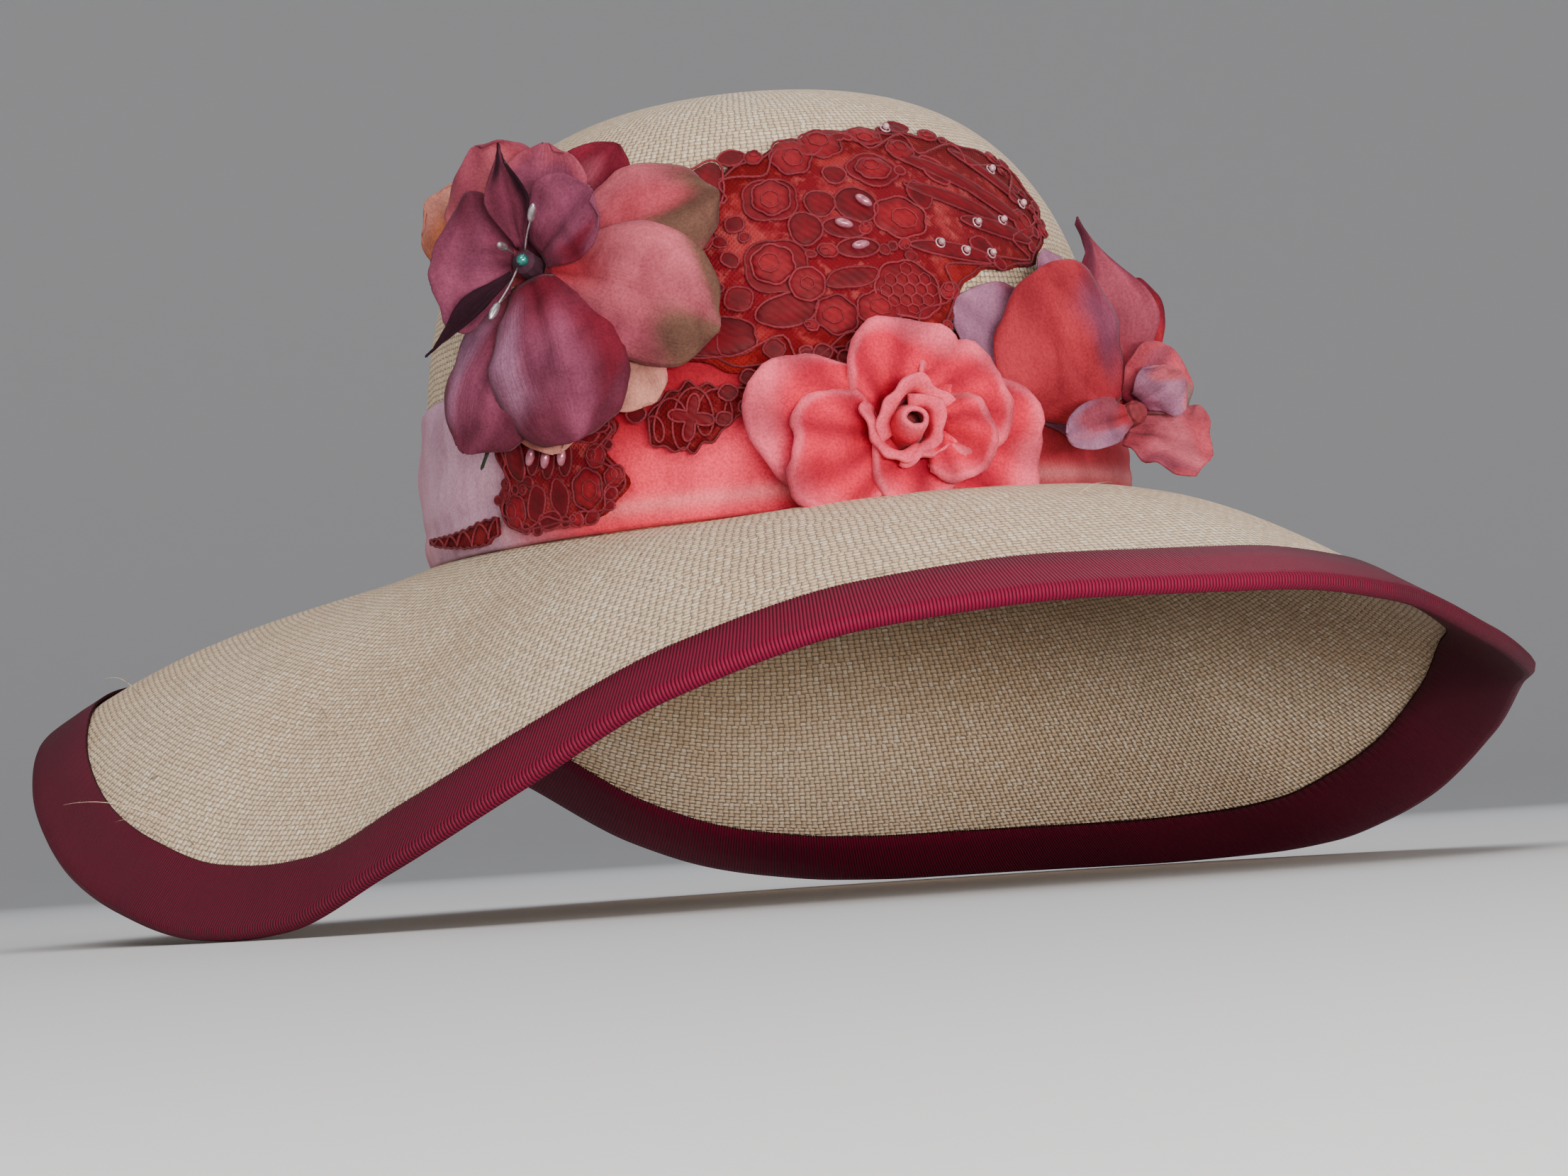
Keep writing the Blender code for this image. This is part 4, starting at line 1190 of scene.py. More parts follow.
BAND_HUES = (
    # angle, red, green, blue
    (0, 0.40, 0.030, 0.045),
    (120, 0.42, 0.040, 0.060),
    (180, 0.50, 0.22, 0.30),
    (206, 0.56, 0.34, 0.45),
    (224, 0.60, 0.34, 0.44),
    (234, 0.58, 0.14, 0.18),
    (246, 0.80, 0.042, 0.078),
    (262, 0.88, 0.055, 0.105),
    (276, 0.66, 0.030, 0.060),
    (300, 0.42, 0.030, 0.045),
    (340, 0.40, 0.030, 0.045),
)


def band_color(angle, share):
    color = Vector(table_value(BAND_HUES, channel, angle) for channel in (1, 2, 3))
    deep = Vector((0.34, 0.010, 0.020))
    top = smooth((share - 0.42 + 0.06 * math.sin(angle * 0.13)) / 0.30)
    front = smooth((angle - 236) / 12) * smooth((345 - angle) / 20)
    color = blend(color, deep, 0.88 * top * front)
    # painted highlight: a pale streak along the rolled lower edge of the velvet
    light = math.exp(-(((share - 0.13) / 0.05) ** 2))
    color = blend(color, Vector((0.88, 0.42, 0.42)), 0.28 * light)
    return color


def band_swell(angle, share):
    """How far the velvet stands out from the crown, for its folds and soft rolled edges."""
    turn = math.radians(angle)
    edge = math.sqrt(max(1 - (2 * share - 1) ** 6, 0.0))
    folds = 0.00050 * math.sin(3 * turn + 9 * share) + 0.00035 * math.sin(7 * turn - 14 * share)
    roll = 0.00055 * math.exp(-(((share - 0.13) / 0.07) ** 2))
    valley = 0.00065 * math.exp(-(((share - 0.24 - 0.03 * math.sin(5 * turn)) / 0.05) ** 2))
    return (VELVET * 0.80 + (folds + roll - valley) * 0.8) * edge


def build_band():
    around = 300
    rows = 34
    grid = []
    colors = []
    inside = BAND_INSIDE - CROWN_OUTSIDE
    for i in range(rows + 1):
        share = i / rows
        ring = []
        for j in range(around):
            angle = 360 * j / around
            ring.append(crown_point(angle, BAND_HEIGHT * share, inside + band_swell(angle, share)))
            colors.append(band_color(angle, share))
        grid.append(ring)
    for i in range(1, 4):
        height = BAND_HEIGHT * (1 - i / 4)
        grid.append([crown_point(360 * j / around, height, inside) for j in range(around)])
        colors += [band_color(360 * j / around, 1 - i / 4) for j in range(around)]
    points, faces, _ = net(grid, loop_rows=True, loop_columns=True, flip=True)
    surface = velvet_finish("band_velvet", 0.00020, 0.15, (1.0, 0.60, 0.68), 0.4)
    band = build_piece("band_velvet", points, faces, surface, ("velvet_band",), colors=colors)


# Lace


LACE_OUTLINES = {
    # name: middle angle, middle height share, outline in degrees and shares of the crown's height
    "lace_crown": (
        284,
        0.585,
        (
            (0, -0.290), (-8, -0.300), (-16, -0.290), (-23, -0.255), (-29, -0.19), (-33, -0.10),
            (-33, -0.01), (-28, 0.06), (-22, 0.11), (-17, 0.155), (-10, 0.19), (-2, 0.225),
            (7, 0.235), (15, 0.225), (24, 0.215), (33, 0.195), (42, 0.16), (46, 0.08),
            (42, 0.00), (36, -0.07), (29, -0.09), (21, -0.100), (16, -0.15), (10, -0.26),
        ),
    ),
    "lace_side": (
        239,
        0.125,
        (
            (0, -0.095), (-5, -0.10), (-9, -0.085), (-11, -0.03), (-9, 0.03), (-11, 0.08),
            (-7, 0.12), (-1, 0.11), (3, 0.145), (8, 0.155), (11, 0.10), (9, 0.04),
            (12, -0.02), (9, -0.075), (5, -0.10),
        ),
    ),
}
LACE_STRIPS = {
    # name: angle, middle height and half width as shares of the crown's height
    "lace_spray": (
        (254.5, 0.20, 0.030), (257, 0.21, 0.055), (260, 0.215, 0.070), (263, 0.22, 0.055),
        (266, 0.235, 0.030), (270, 0.26, 0.034), (274, 0.285, 0.036), (278, 0.30, 0.034),
        (281, 0.31, 0.016),
    ),
    "lace_tail": (
        (227.5, 0.050, 0.018), (224, 0.040, 0.026), (219, 0.036, 0.020), (214, 0.038, 0.014),
        (209, 0.043, 0.010), (204.5, 0.050, 0.005),
    ),
}

LACE_MOTIFS = (
    # kind, angle, height mm, half width mm, half height mm, tilt, layer
    ("disc", 273.5, 73.9, 4.3, 4.6, 0, 1),
    ("ring", 273.3, 73.6, 6.6, 6.0, 0, 0),
    ("disc", 272.6, 57.8, 4.8, 4.6, -5, 1),
    ("ring", 273.1, 57.4, 7.6, 6.8, -5, 0),
    ("net", 276.9, 52.3, 4.0, 4.0, 0, 2),
    ("oval", 273.9, 46.6, 7.1, 4.1, 12, 0),
    ("disc", 277.7, 84.2, 4.6, 5.6, 0, 0),
    ("disc", 283.3, 87.0, 4.8, 4.6, 8, 0),
    ("oval", 280.6, 71.7, 3.5, 3.5, 0, 0),
    ("oval", 277.8, 65.8, 3.8, 4.2, 0, 0),
    ("bead", 286.2, 71.0, 5.2, 4.4, -30, 0),
    ("bead", 283.6, 65.4, 5.0, 2.6, -10, 0),
    ("bead", 285.0, 60.4, 5.0, 2.4, 5, 0),
    ("ring", 290.7, 79.6, 6.4, 4.9, 0, 0),
    ("disc", 290.7, 79.6, 4.2, 3.0, 0, 1),
    ("disc", 292.8, 67.4, 6.6, 5.2, 0, 0),
    ("ring", 302.8, 79.4, 3.4, 4.6, 20, 0),
    ("net", 291.4, 49.5, 8.2, 7.2, -15, 0),
    ("disc", 286.3, 45.0, 4.9, 4.6, 0, 0),
    ("disc", 280.3, 44.4, 4.8, 4.8, 0, 0),
    ("patch", 262.8, 77.0, 5.4, 9.4, -12, 0),
    ("patch", 263.6, 41.9, 10.4, 5.0, -5, 0),
    ("disc", 262.4, 66.0, 3.9, 3.4, 0, 0),
    ("leaf", 304.5, 71.5, 14.5, 1.9, -20, 0),
    ("leaf", 306.0, 77.6, 15.5, 2.1, -28, 0),
    ("leaf", 301.0, 58.8, 12.5, 1.9, -8, 0),
    ("leaf", 312.0, 64.6, 12.0, 2.0, -12, 0),
    ("leaf", 313.5, 71.6, 11.5, 2.0, -30, 0),
    ("leaf", 316.0, 79.0, 11.0, 1.8, -40, 0),
    ("ring", 283.4, 53.4, 6.6, 2.5, 8, 0),
    ("disc", 297.6, 84.6, 3.4, 3.2, 0, 0),
    ("disc", 292.0, 88.6, 4.0, 3.0, -8, 0),
    ("ring", 306.5, 60.0, 3.6, 2.6, -15, 0),
    ("disc", 319.5, 66.5, 3.6, 3.6, -30, 0),
    ("ring", 297.5, 73.0, 3.0, 4.0, 10, 0),
    ("ring", 267.5, 50.5, 3.4, 3.0, 0, 0),
    ("ring", 268.0, 85.0, 3.2, 2.6, 0, 0),
    ("ring", 300.0, 91.0, 3.4, 2.2, 0, 0),
)
SIDE_MOTIFS = (
    # kind, angle, height mm, half width mm, half height mm, tilt, layer
    ("bead", 236.2, 20.0, 1.9, 4.0, -14, 0),
    ("bead", 238.8, 18.9, 1.9, 4.2, -10, 0),
    ("bead", 241.6, 18.9, 2.0, 4.2, -4, 0),
    ("ring", 245.5, 26.0, 4.2, 4.8, 0, 0),
    ("disc", 244.8, 10.5, 4.0, 4.6, 0, 0),
    ("oval", 232.5, 21.0, 2.8, 6.0, 14, 0),
    ("ring", 236.0, 9.0, 2.8, 4.4, -12, 0),
    ("disc", 231.8, 8.0, 3.2, 3.8, 0, 0),
    ("ring", 240.2, 9.6, 2.6, 4.4, 10, 0),
    ("ring", 238.2, 4.6, 3.6, 2.2, 0, 0),
    ("disc", 246.5, 18.0, 2.4, 2.6, 0, 0),
)

LACE_RED = Vector((0.165, 0.001, 0.007))
LACE_BRIGHT = Vector((0.255, 0.007, 0.014))
LACE_DARK = Vector((0.105, 0.001, 0.005))
CORD_COLOR = Vector((0.215, 0.019, 0.030))


class Cover:
    """The skin under the lace, to lay cords, pads and pearls on."""

    def __init__(self):
        grid = []
        for step in range(0, 108):
            grid.append([trim_point(200 + 0.75 * i, 0.001 * step, LACE_SEAT + LACE / 2) for i in range(200)])
        points, faces, _ = net(grid)
        self.tree = BVHTree.FromPolygons(points, faces)

    def frame(self, angle, height):
        """Base point, right, up and out on the skin, seen from outside."""
        point = trim_point(angle, height, LACE_SEAT + LACE / 2)
        out = crown_normal(angle, height)
        right = Vector((0, 0, 1)).cross(out).normalized()
        return point, right, out.cross(right), out

    def lay(self, point, out, lift):
        """The point moved onto the skin and a lift clear of it."""
        hit = self.tree.ray_cast(point + out * 0.02, -out)
        if hit[0] is None:
            hit = self.tree.find_nearest(point)
        normal = hit[1]
        if normal.dot(out) < 0:
            normal = -normal
        return hit[0] + normal * lift


MOTIF_STYLES = {
    # kind: scallops round it and their depth, pad's middle and edge colour, pad's height, cord's scale
    "disc": (6, 0.07, LACE_BRIGHT, LACE_RED, 0.0008, 1.06),
    "oval": (3, 0.06, LACE_RED, LACE_DARK, 0.0007, 1.05),
    "patch": (4, 0.07, LACE_RED, LACE_DARK, 0.0007, 1.05),
    "net": (7, 0.045, LACE_BRIGHT * 0.8, LACE_RED, 0.0006, 1.03),
    "leaf": (2, 0.05, LACE_RED, LACE_DARK, 0.0008, 1.03),
    "bead": (2, 0.05, LACE_DARK * 1.3, LACE_DARK, 0.0004, 1.05),
    "ring": (4, 0.07, LACE_DARK, LACE_RED, 0.0003, 1.0),
}


def ellipse_path(cover, motif, scale, lift, steps=0):
    kind, angle, height, wide, high, tilt, _ = motif
    lobes, depth = MOTIF_STYLES[kind][:2]
    base, right, up, out = cover.frame(angle, height / 1000)
    turn = math.radians(tilt)
    steps = steps or max(int((wide + high) * scale * 2.6), 14)
    path = []
    for i in range(steps):
        t = 2 * math.pi * i / steps
        swing = 1 - depth + 2 * depth * abs(math.sin(lobes * t / 2 + angle))
        x = wide * scale * swing * math.cos(t) / 1000
        y = high * scale * swing * math.sin(t) / 1000
        across = x * math.cos(turn) - y * math.sin(turn)
        rise = x * math.sin(turn) + y * math.cos(turn)
        path.append(cover.lay(base + right * across + up * rise, out, lift))
    return path


def add_pad(heap, cover, motif, color, edge, height):
    """A stitched pad: an ellipse that domes up from the net."""
    rings = []
    colors = []
    layer = motif[6] * MOTIF_LAYER
    for scale, share in ((1.0, 0.0), (0.93, 0.55), (0.75, 0.85), (0.5, 0.72), (0.25, 0.9), (0.06, 1.0)):
        rings.append(ellipse_path(cover, motif, scale, height * share + layer, 28))
        tone = blend(Vector(color), Vector(edge), smooth((scale - 0.4) / 0.6))
        colors += [tone * (0.85 + 0.3 * ((i * 7) % 5) / 5) for i in range(28)]
    heap.add(*dome(rings), colors)


def add_hexagons(heap, cover, motif, radius):
    """Honeycomb cords inside an ellipse."""
    _, angle, height, wide, high, _, layer = motif
    base, right, up, out = cover.frame(angle, height / 1000)
    for row in range(-6, 7):
        for column in range(-6, 7):
            x = (column * 1.732 + (row % 2) * 0.866) * HEXAGON
            y = row * HEXAGON * 1.5
            if (x / (wide - 0.9)) ** 2 + (y / (high - 0.9)) ** 2 > 0.8:
                continue
            path = []
            for corner in range(6):
                t = math.radians(60 * corner + 30)
                px = (x + HEXAGON * 0.94 * math.cos(t)) / 1000
                py = (y + HEXAGON * 0.94 * math.sin(t)) / 1000
                path.append(cover.lay(base + right * px + up * py, out, 0.00085 + MOTIF_LAYER * layer))
            heap.tube(path, radius * 0.55, tuple(CORD_COLOR * 1.25), closed=True, sides=4)


def spare_motifs(name, motifs, count):
    """Small rings and pads for the gaps between a patch's motifs."""
    middle_angle, middle_share, outline = LACE_OUTLINES[name]
    scale = math.radians(1) * oval_radius(middle_angle, CROWN_OUTSIDE) * 1000
    rise = CROWN_HEIGHT * 1000
    edge = [((middle_angle + x) * scale, (middle_share + y) * rise) for x, y in outline]
    taken = []
    for _, angle, height, wide, high, tilt, _ in motifs:
        turn = math.radians(tilt)
        for step in (-0.6, 0.0, 0.6):
            spread = step * max(wide - high, 0)
            spot = (angle * scale + spread * math.cos(turn), height + spread * math.sin(turn))
            taken.append((*spot, max(high, wide * 0.5)))
    pick = random.Random(11)
    made = []
    for _ in range(4000):
        size = pick.uniform(1.1, 3.0)
        x = pick.uniform(min(e[0] for e in edge), max(e[0] for e in edge))
        y = pick.uniform(min(e[1] for e in edge), max(e[1] for e in edge))
        crossings = 0
        for (ax, ay), (bx, by) in zip(edge, edge[1:] + edge[:1]):
            if (ay > y) != (by > y) and x < (bx - ax) * (y - ay) / (by - ay) + ax:
                crossings += 1
        if crossings % 2 == 0 or any(math.dist((x, y), spot[:2]) < spot[2] + size * 0.85 for spot in taken):
            continue
        taken.append((x, y, size))
        kind = ("ring", "disc", "oval")[len(made) % 3]
        made.append((kind, x / scale, y, size, size * pick.uniform(0.65, 1), pick.uniform(-40, 40), 0))
        if len(made) == count:
            break
    return tuple(made)


def add_motif(pads, cords, cover, motif, radius):
    kind, angle, height = motif[:3]
    _, _, middle, edge, rise, reach = MOTIF_STYLES[kind]
    lift = radius * 0.8 + MOTIF_LAYER * motif[6]
    cord = tuple(CORD_COLOR * (0.75 + 0.5 * ((int(angle * 7) % 10) / 10)))
    add_pad(pads, cover, motif, middle, edge, rise)
    cords.tube(ellipse_path(cover, motif, reach, lift), radius, cord, closed=True)
    if kind == "disc":
        swing = math.radians(angle * 97 % 360)
        inner = (kind, angle + 0.55 * math.cos(swing), height + 0.8 * math.sin(swing), *motif[3:])
        cords.tube(ellipse_path(cover, inner, 0.50, lift + 0.0006), radius * 0.6, cord, closed=True)
    if kind == "net":
        add_hexagons(cords, cover, motif, radius)


def smooth_outline(outline, steps):
    """Closed smooth line through an outline's points."""
    count = len(outline)
    line = []
    for i in range(count):
        near = [Vector(outline[(i + k) % count]) for k in (-1, 0, 1, 2)]
        line += [through(*near, step / steps) for step in range(steps)]
    return line


def build_patch(name, surface, cords, cover, radius):
    """The net of a lace patch with a scalloped edge, corded all round."""
    middle_angle, middle_share, outline = LACE_OUTLINES[name]
    edge = smooth_outline(outline, 6)
    rings = []
    reach = math.radians(1) * oval_radius(middle_angle, CROWN_OUTSIDE)
    places = []
    for scale in (1.0, 0.96, 0.85, 0.7, 0.55, 0.4, 0.25, 0.1):
        ring = []
        for i, point in enumerate(edge):
            scallop = 1 + 0.018 * math.sin(math.pi * i / 3) * smooth((scale - 0.8) / 0.2)
            angle = middle_angle + point.x * scale * scallop
            height = (middle_share + point.y * scale * scallop) * CROWN_HEIGHT
            ring.append(trim_point(angle, height, LACE_SEAT))
            places.append((angle * reach, height))
        rings.append(ring)
    points, faces = dome(rings)
    uvs = [places[i] for face in faces for i in face]
    tones = (0.30, 0.34, 0.45, 0.8, 1.0, 1.0, 1.0, 1.0)
    colors = [Vector((1, tone**1.5, tone**1.5)) * blend(0.55, 1.0, tone) for tone in tones for _ in edge]
    made = build_piece(name + "_net", points, faces, surface, (name,), uvs, colors)
    thicken(made, NET_WALL, even=False)
    border = [cover.lay(p, crown_normal_at(p), radius * 0.7) for p in rings[1]]
    cords.tube(border, radius, tuple(CORD_COLOR * 0.8), closed=True)
    inner = []
    for i, (a, b) in enumerate(zip(rings[1], rings[3])):
        point = a + (b - a) * (0.42 + 0.34 * math.sin(2 * math.pi * i / 9))
        inner.append(cover.lay(point, crown_normal_at(point), radius * 1.6))
    cords.tube(inner, radius, tuple(CORD_COLOR), closed=True)
    height = (max(p[1] for p in outline) - min(p[1] for p in outline)) * CROWN_HEIGHT
    width = (max(p[0] for p in outline) - min(p[0] for p in outline)) * reach
    flat = (width, height * LACE_EASE)
    area = width * height * LACE_FILL


def crown_normal_at(point):
    """Outward direction at a point near the crown."""
    local = LEAN.inverted() @ (point - FOOT) + FOOT
    angle = math.degrees(math.atan2(local.y, local.x))
    return crown_normal(angle, min(max(local.z - CROWN_FOOT_HEIGHT, 0.0), CROWN_HEIGHT * 0.98))


def strip_value(rows, angle, column):
    """Value of a strip's column at an angle, straight between its rows."""
    ordered = sorted(rows)
    if angle <= ordered[0][0]:
        return ordered[0][column]
    for a, b in zip(ordered, ordered[1:]):
        if angle <= b[0]:
            share = (angle - a[0]) / (b[0] - a[0])
            return blend(a[column], b[column], smooth(share) * 0.5 + share * 0.5)
    return ordered[-1][column]


def build_strip(name, surface, cords, cover, radius):
    """A narrow strip of lace with curled loops of cord along it."""
    rows = LACE_STRIPS[name]
    first = min(row[0] for row in rows)
    last = max(row[0] for row in rows)
    steps = 60
    grid = []
    places = []
    reach = math.radians(1) * oval_radius((first + last) / 2, CROWN_OUTSIDE)
    for i in range(steps + 1):
        angle = blend(first, last, i / steps)
        middle = strip_value(rows, angle, 1) * CROWN_HEIGHT
        half = strip_value(rows, angle, 2) * CROWN_HEIGHT * (1 + 0.10 * math.sin(i * 1.1))
        line = []
        for side in (-1, -0.6, -0.2, 0.2, 0.6, 1):
            line.append(trim_point(angle, middle + half * side, LACE_SEAT))
            places.append((angle * reach, middle + half * side))
        grid.append(line)
    points, faces, _ = net(grid, flip=True)
    uvs = [places[i] for face in faces for i in face]
    colors = [Vector((0.62, 0.24, 0.28))] * len(points)
    made = build_piece(name + "_net", points, faces, surface, (name,), uvs, colors)
    thicken(made, NET_WALL, even=False)
    declare_cut(grid)
    loops = 9 if name == "lace_spray" else 5
    path = []
    count = loops * 22
    for i in range(count + 1):
        t = i / count
        angle = blend(first, last, t)
        half = strip_value(rows, angle, 2) * CROWN_HEIGHT
        turn = 2 * math.pi * loops * t
        angle += 1.15 * math.sin(turn) * half / (0.04 * CROWN_HEIGHT)
        middle = strip_value(rows, angle, 1) * CROWN_HEIGHT
        swing = 0.86 * math.cos(turn) + 0.12 * math.sin(turn * 0.5)
        point = trim_point(angle, middle + half * swing, LACE_SEAT)
        path.append(cover.lay(point, crown_normal_at(point), radius * (0.9 + 0.4 * math.sin(turn * 2))))
    cords.tube(path, radius, tuple(CORD_COLOR), sides=5)
    edge = [line[0] for line in grid] + [line[-1] for line in reversed(grid)]
    border = [cover.lay(p, crown_normal_at(p), radius * 0.7) for p in edge]
    cords.tube(border, radius, tuple(CORD_COLOR * 0.8), closed=True, sides=5)


BLOSSOM = (260.2, 23.8, 5.6)
RINGLETS = (
    # angle, height in millimetres, radius in millimetres
    (265.2, 28.5, 2.2), (268.0, 31.5, 2.0), (270.6, 29.6, 1.7), (272.6, 33.6, 2.1), (275.4, 31.6, 1.9),
    (277.6, 35.6, 2.2), (280.4, 34.0, 1.9), (264.4, 22.6, 1.9), (267.3, 24.8, 1.8), (255.6, 30.2, 2.1),
    (253.0, 26.2, 2.4), (250.4, 29.6, 2.1), (247.8, 25.0, 2.3),
)


def build_blossom(pads, cords, cover, radius):
    """A four-lobed flower of cord with small rings beside it."""
    angle, height, size = BLOSSOM
    base, right, up, out = cover.frame(angle, height / 1000)
    edge = []
    for i in range(64):
        t = 2 * math.pi * i / 64
        reach = size * (0.66 + 0.34 * math.cos(4 * t + 0.9)) / 1000
        edge.append(base + right * (reach * math.cos(t)) + up * (reach * math.sin(t)))
    rings = []
    for scale, share in ((1.0, 0.1), (0.8, 0.8), (0.5, 1.0), (0.1, 1.0)):
        rings.append([cover.lay(base + (p - base) * scale, out, 0.0004 * share + 0.0002) for p in edge])
    points, faces = dome(rings)
    pads.add(points, faces, [LACE_RED * 0.8] * len(points))
    cords.tube([cover.lay(p, out, 0.0006) for p in edge], radius, tuple(CORD_COLOR), closed=True)
    for angle, height, size in RINGLETS:
        motif = ("ring", angle, height, size, size * 0.86, 0, 1)
        add_pad(pads, cover, motif, LACE_RED * 0.75, LACE_DARK * 0.9, 0.0003)
        cords.tube(ellipse_path(cover, motif, 1.0, radius + 0.0005), radius, tuple(CORD_COLOR), closed=True)


# Beads, pearls and stamens


BEADS = (
    # name, angle, height share, lean, settle
    ("bead_crown_1", 287.2, 0.641, -40, 0.15),
    ("bead_crown_2", 283.4, 0.594, -20, 0.25),
    ("bead_crown_3", 285.2, 0.545, 8, 0.1),
    ("bead_side_1", 236.2, 0.180, 68, 0.0),
    ("bead_side_2", 238.8, 0.170, 76, 0.0),
    ("bead_side_3", 241.6, 0.170, 82, 0.0),
)
BEAD_RADIUS = 0.0011
BEAD_LENGTH = 0.0046
SEED_PEARLS = (
    # angle, height in millimetres
    (297.0, 90.2), (306.9, 65.8), (313.3, 66.7), (321.6, 71.5), (298.3, 60.7), (302.7, 58.8),
    (307.9, 58.2), (317.5, 80.0),
)
STAMENS = (
    # name, right, up, out
    ("stamen_up", 0.20, 0.24, 0.50),
    ("stamen_left", -0.02, 0.02, 0.50),
    ("stamen_down", -0.08, -0.42, 0.46),
)
STAMEN_SPREAD = 0.0022
STAMEN_BULB = 0.0055
LEFT_HEART_TOP = 0.24
PEARL_RADIUS = 0.0015
WHITE = (1, 1, 1)


def build_beads():
    rose_bead = gloss_finish("bead_gloss", (0.55, 0.17, 0.24), 0.22, 0.25, 0.6)
    seed_pearl = gloss_finish("seed_pearl", (0.74, 0.42, 0.46), 0.2, 0.2, 0.7)
    for name, angle, share, lean, settle in BEADS:
        height = share * CROWN_HEIGHT
        normal = crown_normal(angle, height)
        around = Vector((0, 0, 1)).cross(normal).normalized()
        turn = math.radians(lean)
        axis = around * math.cos(turn) + normal.cross(around) * math.sin(turn)
        offset = LACE_CLEARANCE + LACE + GAP + BEAD_RADIUS * (1 - settle)
        heap = Heap()
        heap.ball(trim_point(angle, height, offset), axis, BEAD_RADIUS, BEAD_LENGTH / 2, WHITE)
        heap.piece(name + "_gloss", rose_bead, (name,))
    cover = Cover()
    heap = Heap()
    for angle, height in SEED_PEARLS:
        base, right, _, out = cover.frame(angle, height / 1000)
        heap.ball(base + out * 0.0013, out, SEED_PEARL_RADIUS, SEED_PEARL_RADIUS, WHITE)
        ring = []
        for step in range(14):
            t = 2 * math.pi * step / 14
            side = right * math.cos(t) + out.cross(right) * math.sin(t)
            ring.append(base + side * SEED_PEARL_RING + out * 0.0006)
        heap.tube(ring, THREAD_RADIUS, WHITE, closed=True)
    heap.piece("seed_pearls", seed_pearl)


def build_stamens():
    silver = gloss_finish("stamen_glitter", (0.72, 0.70, 0.74), 0.3, 0.85, 0.3)
    green = gloss_finish("pearl_gloss", (0.03, 0.30, 0.26), 0.15, 0.55, 0.9)
    top = Vector((0, 0, LEFT_HEART_TOP * LEFT_REACH))
    for name, right, up, out in STAMENS:
        tip = Vector((right, up, out)) * LEFT_REACH
        aside = Vector((right, up, 0)).normalized() * STAMEN_SPREAD
        start = top + aside + Vector((0, 0, 2 * GAP))
        line = (tip - start).normalized()
        length = (tip - start).length
        heap = Heap()
        thread = []
        for i in range(10):
            t = i / 9
            bend = Vector((0, 0, 1)).cross(line) * (0.0004 * math.sin(math.pi * t))
            thread.append(LEFT_FRAME @ (start + line * ((length - STAMEN_BULB * 0.9) * t) + bend))
        heap.tube(thread, THREAD_RADIUS, WHITE, sides=8)
        middle = LEFT_FRAME @ (tip - line * (STAMEN_BULB / 2))
        axis = (LEFT_FRAME.to_3x3() @ line).normalized()
        heap.ball(middle, axis, STAMEN_RADIUS, STAMEN_BULB / 2, WHITE, 18, 14)
        heap.piece(name + "_glitter", silver, (name,))
    heap = Heap()
    spot = top + Vector((PEARL_RADIUS * 0.9, -PEARL_RADIUS * 0.5, GAP + PEARL_RADIUS))
    heap.ball(LEFT_FRAME @ spot, Vector((0, 0, 1)), PEARL_RADIUS, PEARL_RADIUS, WHITE, 24, 16)
    heap.piece("pearl_round", green, ("pearl",))


# Add-on


class StrawSettings(PropertyGroup):
    straw_color: FloatVectorProperty(
        name="Straw colour", description="Colour of the straw", subtype="COLOR",
        default=(0.77, 0.58, 0.39), min=0, max=1,
    )
    weave_pitch: FloatProperty(
        name="Row pitch", description="Distance from one row of stitches to the next",
        default=0.00145, min=0.0005, unit="LENGTH",
    )
    stitch_pitch: FloatProperty(
        name="Stitch pitch", description="Length of a stitch along its row",
        default=0.00165, min=0.0005, unit="LENGTH",
    )
    weave_depth: FloatProperty(
        name="Weave depth", description="How far the stitches stand up",
        default=0.00060, min=0, unit="LENGTH",
    )


class TrimSettings(PropertyGroup):
    ribbon_color: FloatVectorProperty(
        name="Ribbon colour", description="Colour of the ribs", subtype="COLOR",
        default=(0.122, 0.001, 0.018), min=0, max=1,
    )
    # the shade colour is also the base of the painted shade in the grooves between the ribs
    ribbon_shade: FloatVectorProperty(
        name="Ribbon shade", description="Colour of the darker patches", subtype="COLOR",
        default=(0.050, 0.001, 0.011), min=0, max=1,
    )
    rib_count: IntProperty(name="Ribs", description="Ribs round the binding", default=1416, min=100)
    cord_radius: FloatProperty(
        name="Cord radius", description="Radius of the lace cord", default=0.00030, min=0.0001, unit="LENGTH"
    )
    petal_wall: FloatProperty(
        name="Petal wall", description="Thickness of a petal", default=0.0006, min=0.0002, unit="LENGTH"
    )
    rose_wall: FloatProperty(
        name="Rose wall", description="Thickness of a rose petal", default=0.0010, min=0.0002, unit="LENGTH"
    )


class STRAWHAT_OT_straw(Operator):
    """Builds the crown, the brim and the loose fibres"""

    bl_idname = "strawhat.straw"
    bl_label = "Straw"

    def execute(self, context):
        options = context.scene.straw_settings
        build_crown(options)
        surface = build_brim(options)
        build_fibres(options, surface)
        return {"FINISHED"}


class STRAWHAT_OT_ribbon(Operator):
    """Builds the ribbed binding and the velvet band"""

    bl_idname = "strawhat.ribbon"
    bl_label = "Ribbon and band"

    def execute(self, context):
        options = context.scene.trim_settings
        build_binding(options)
        build_band()
        return {"FINISHED"}


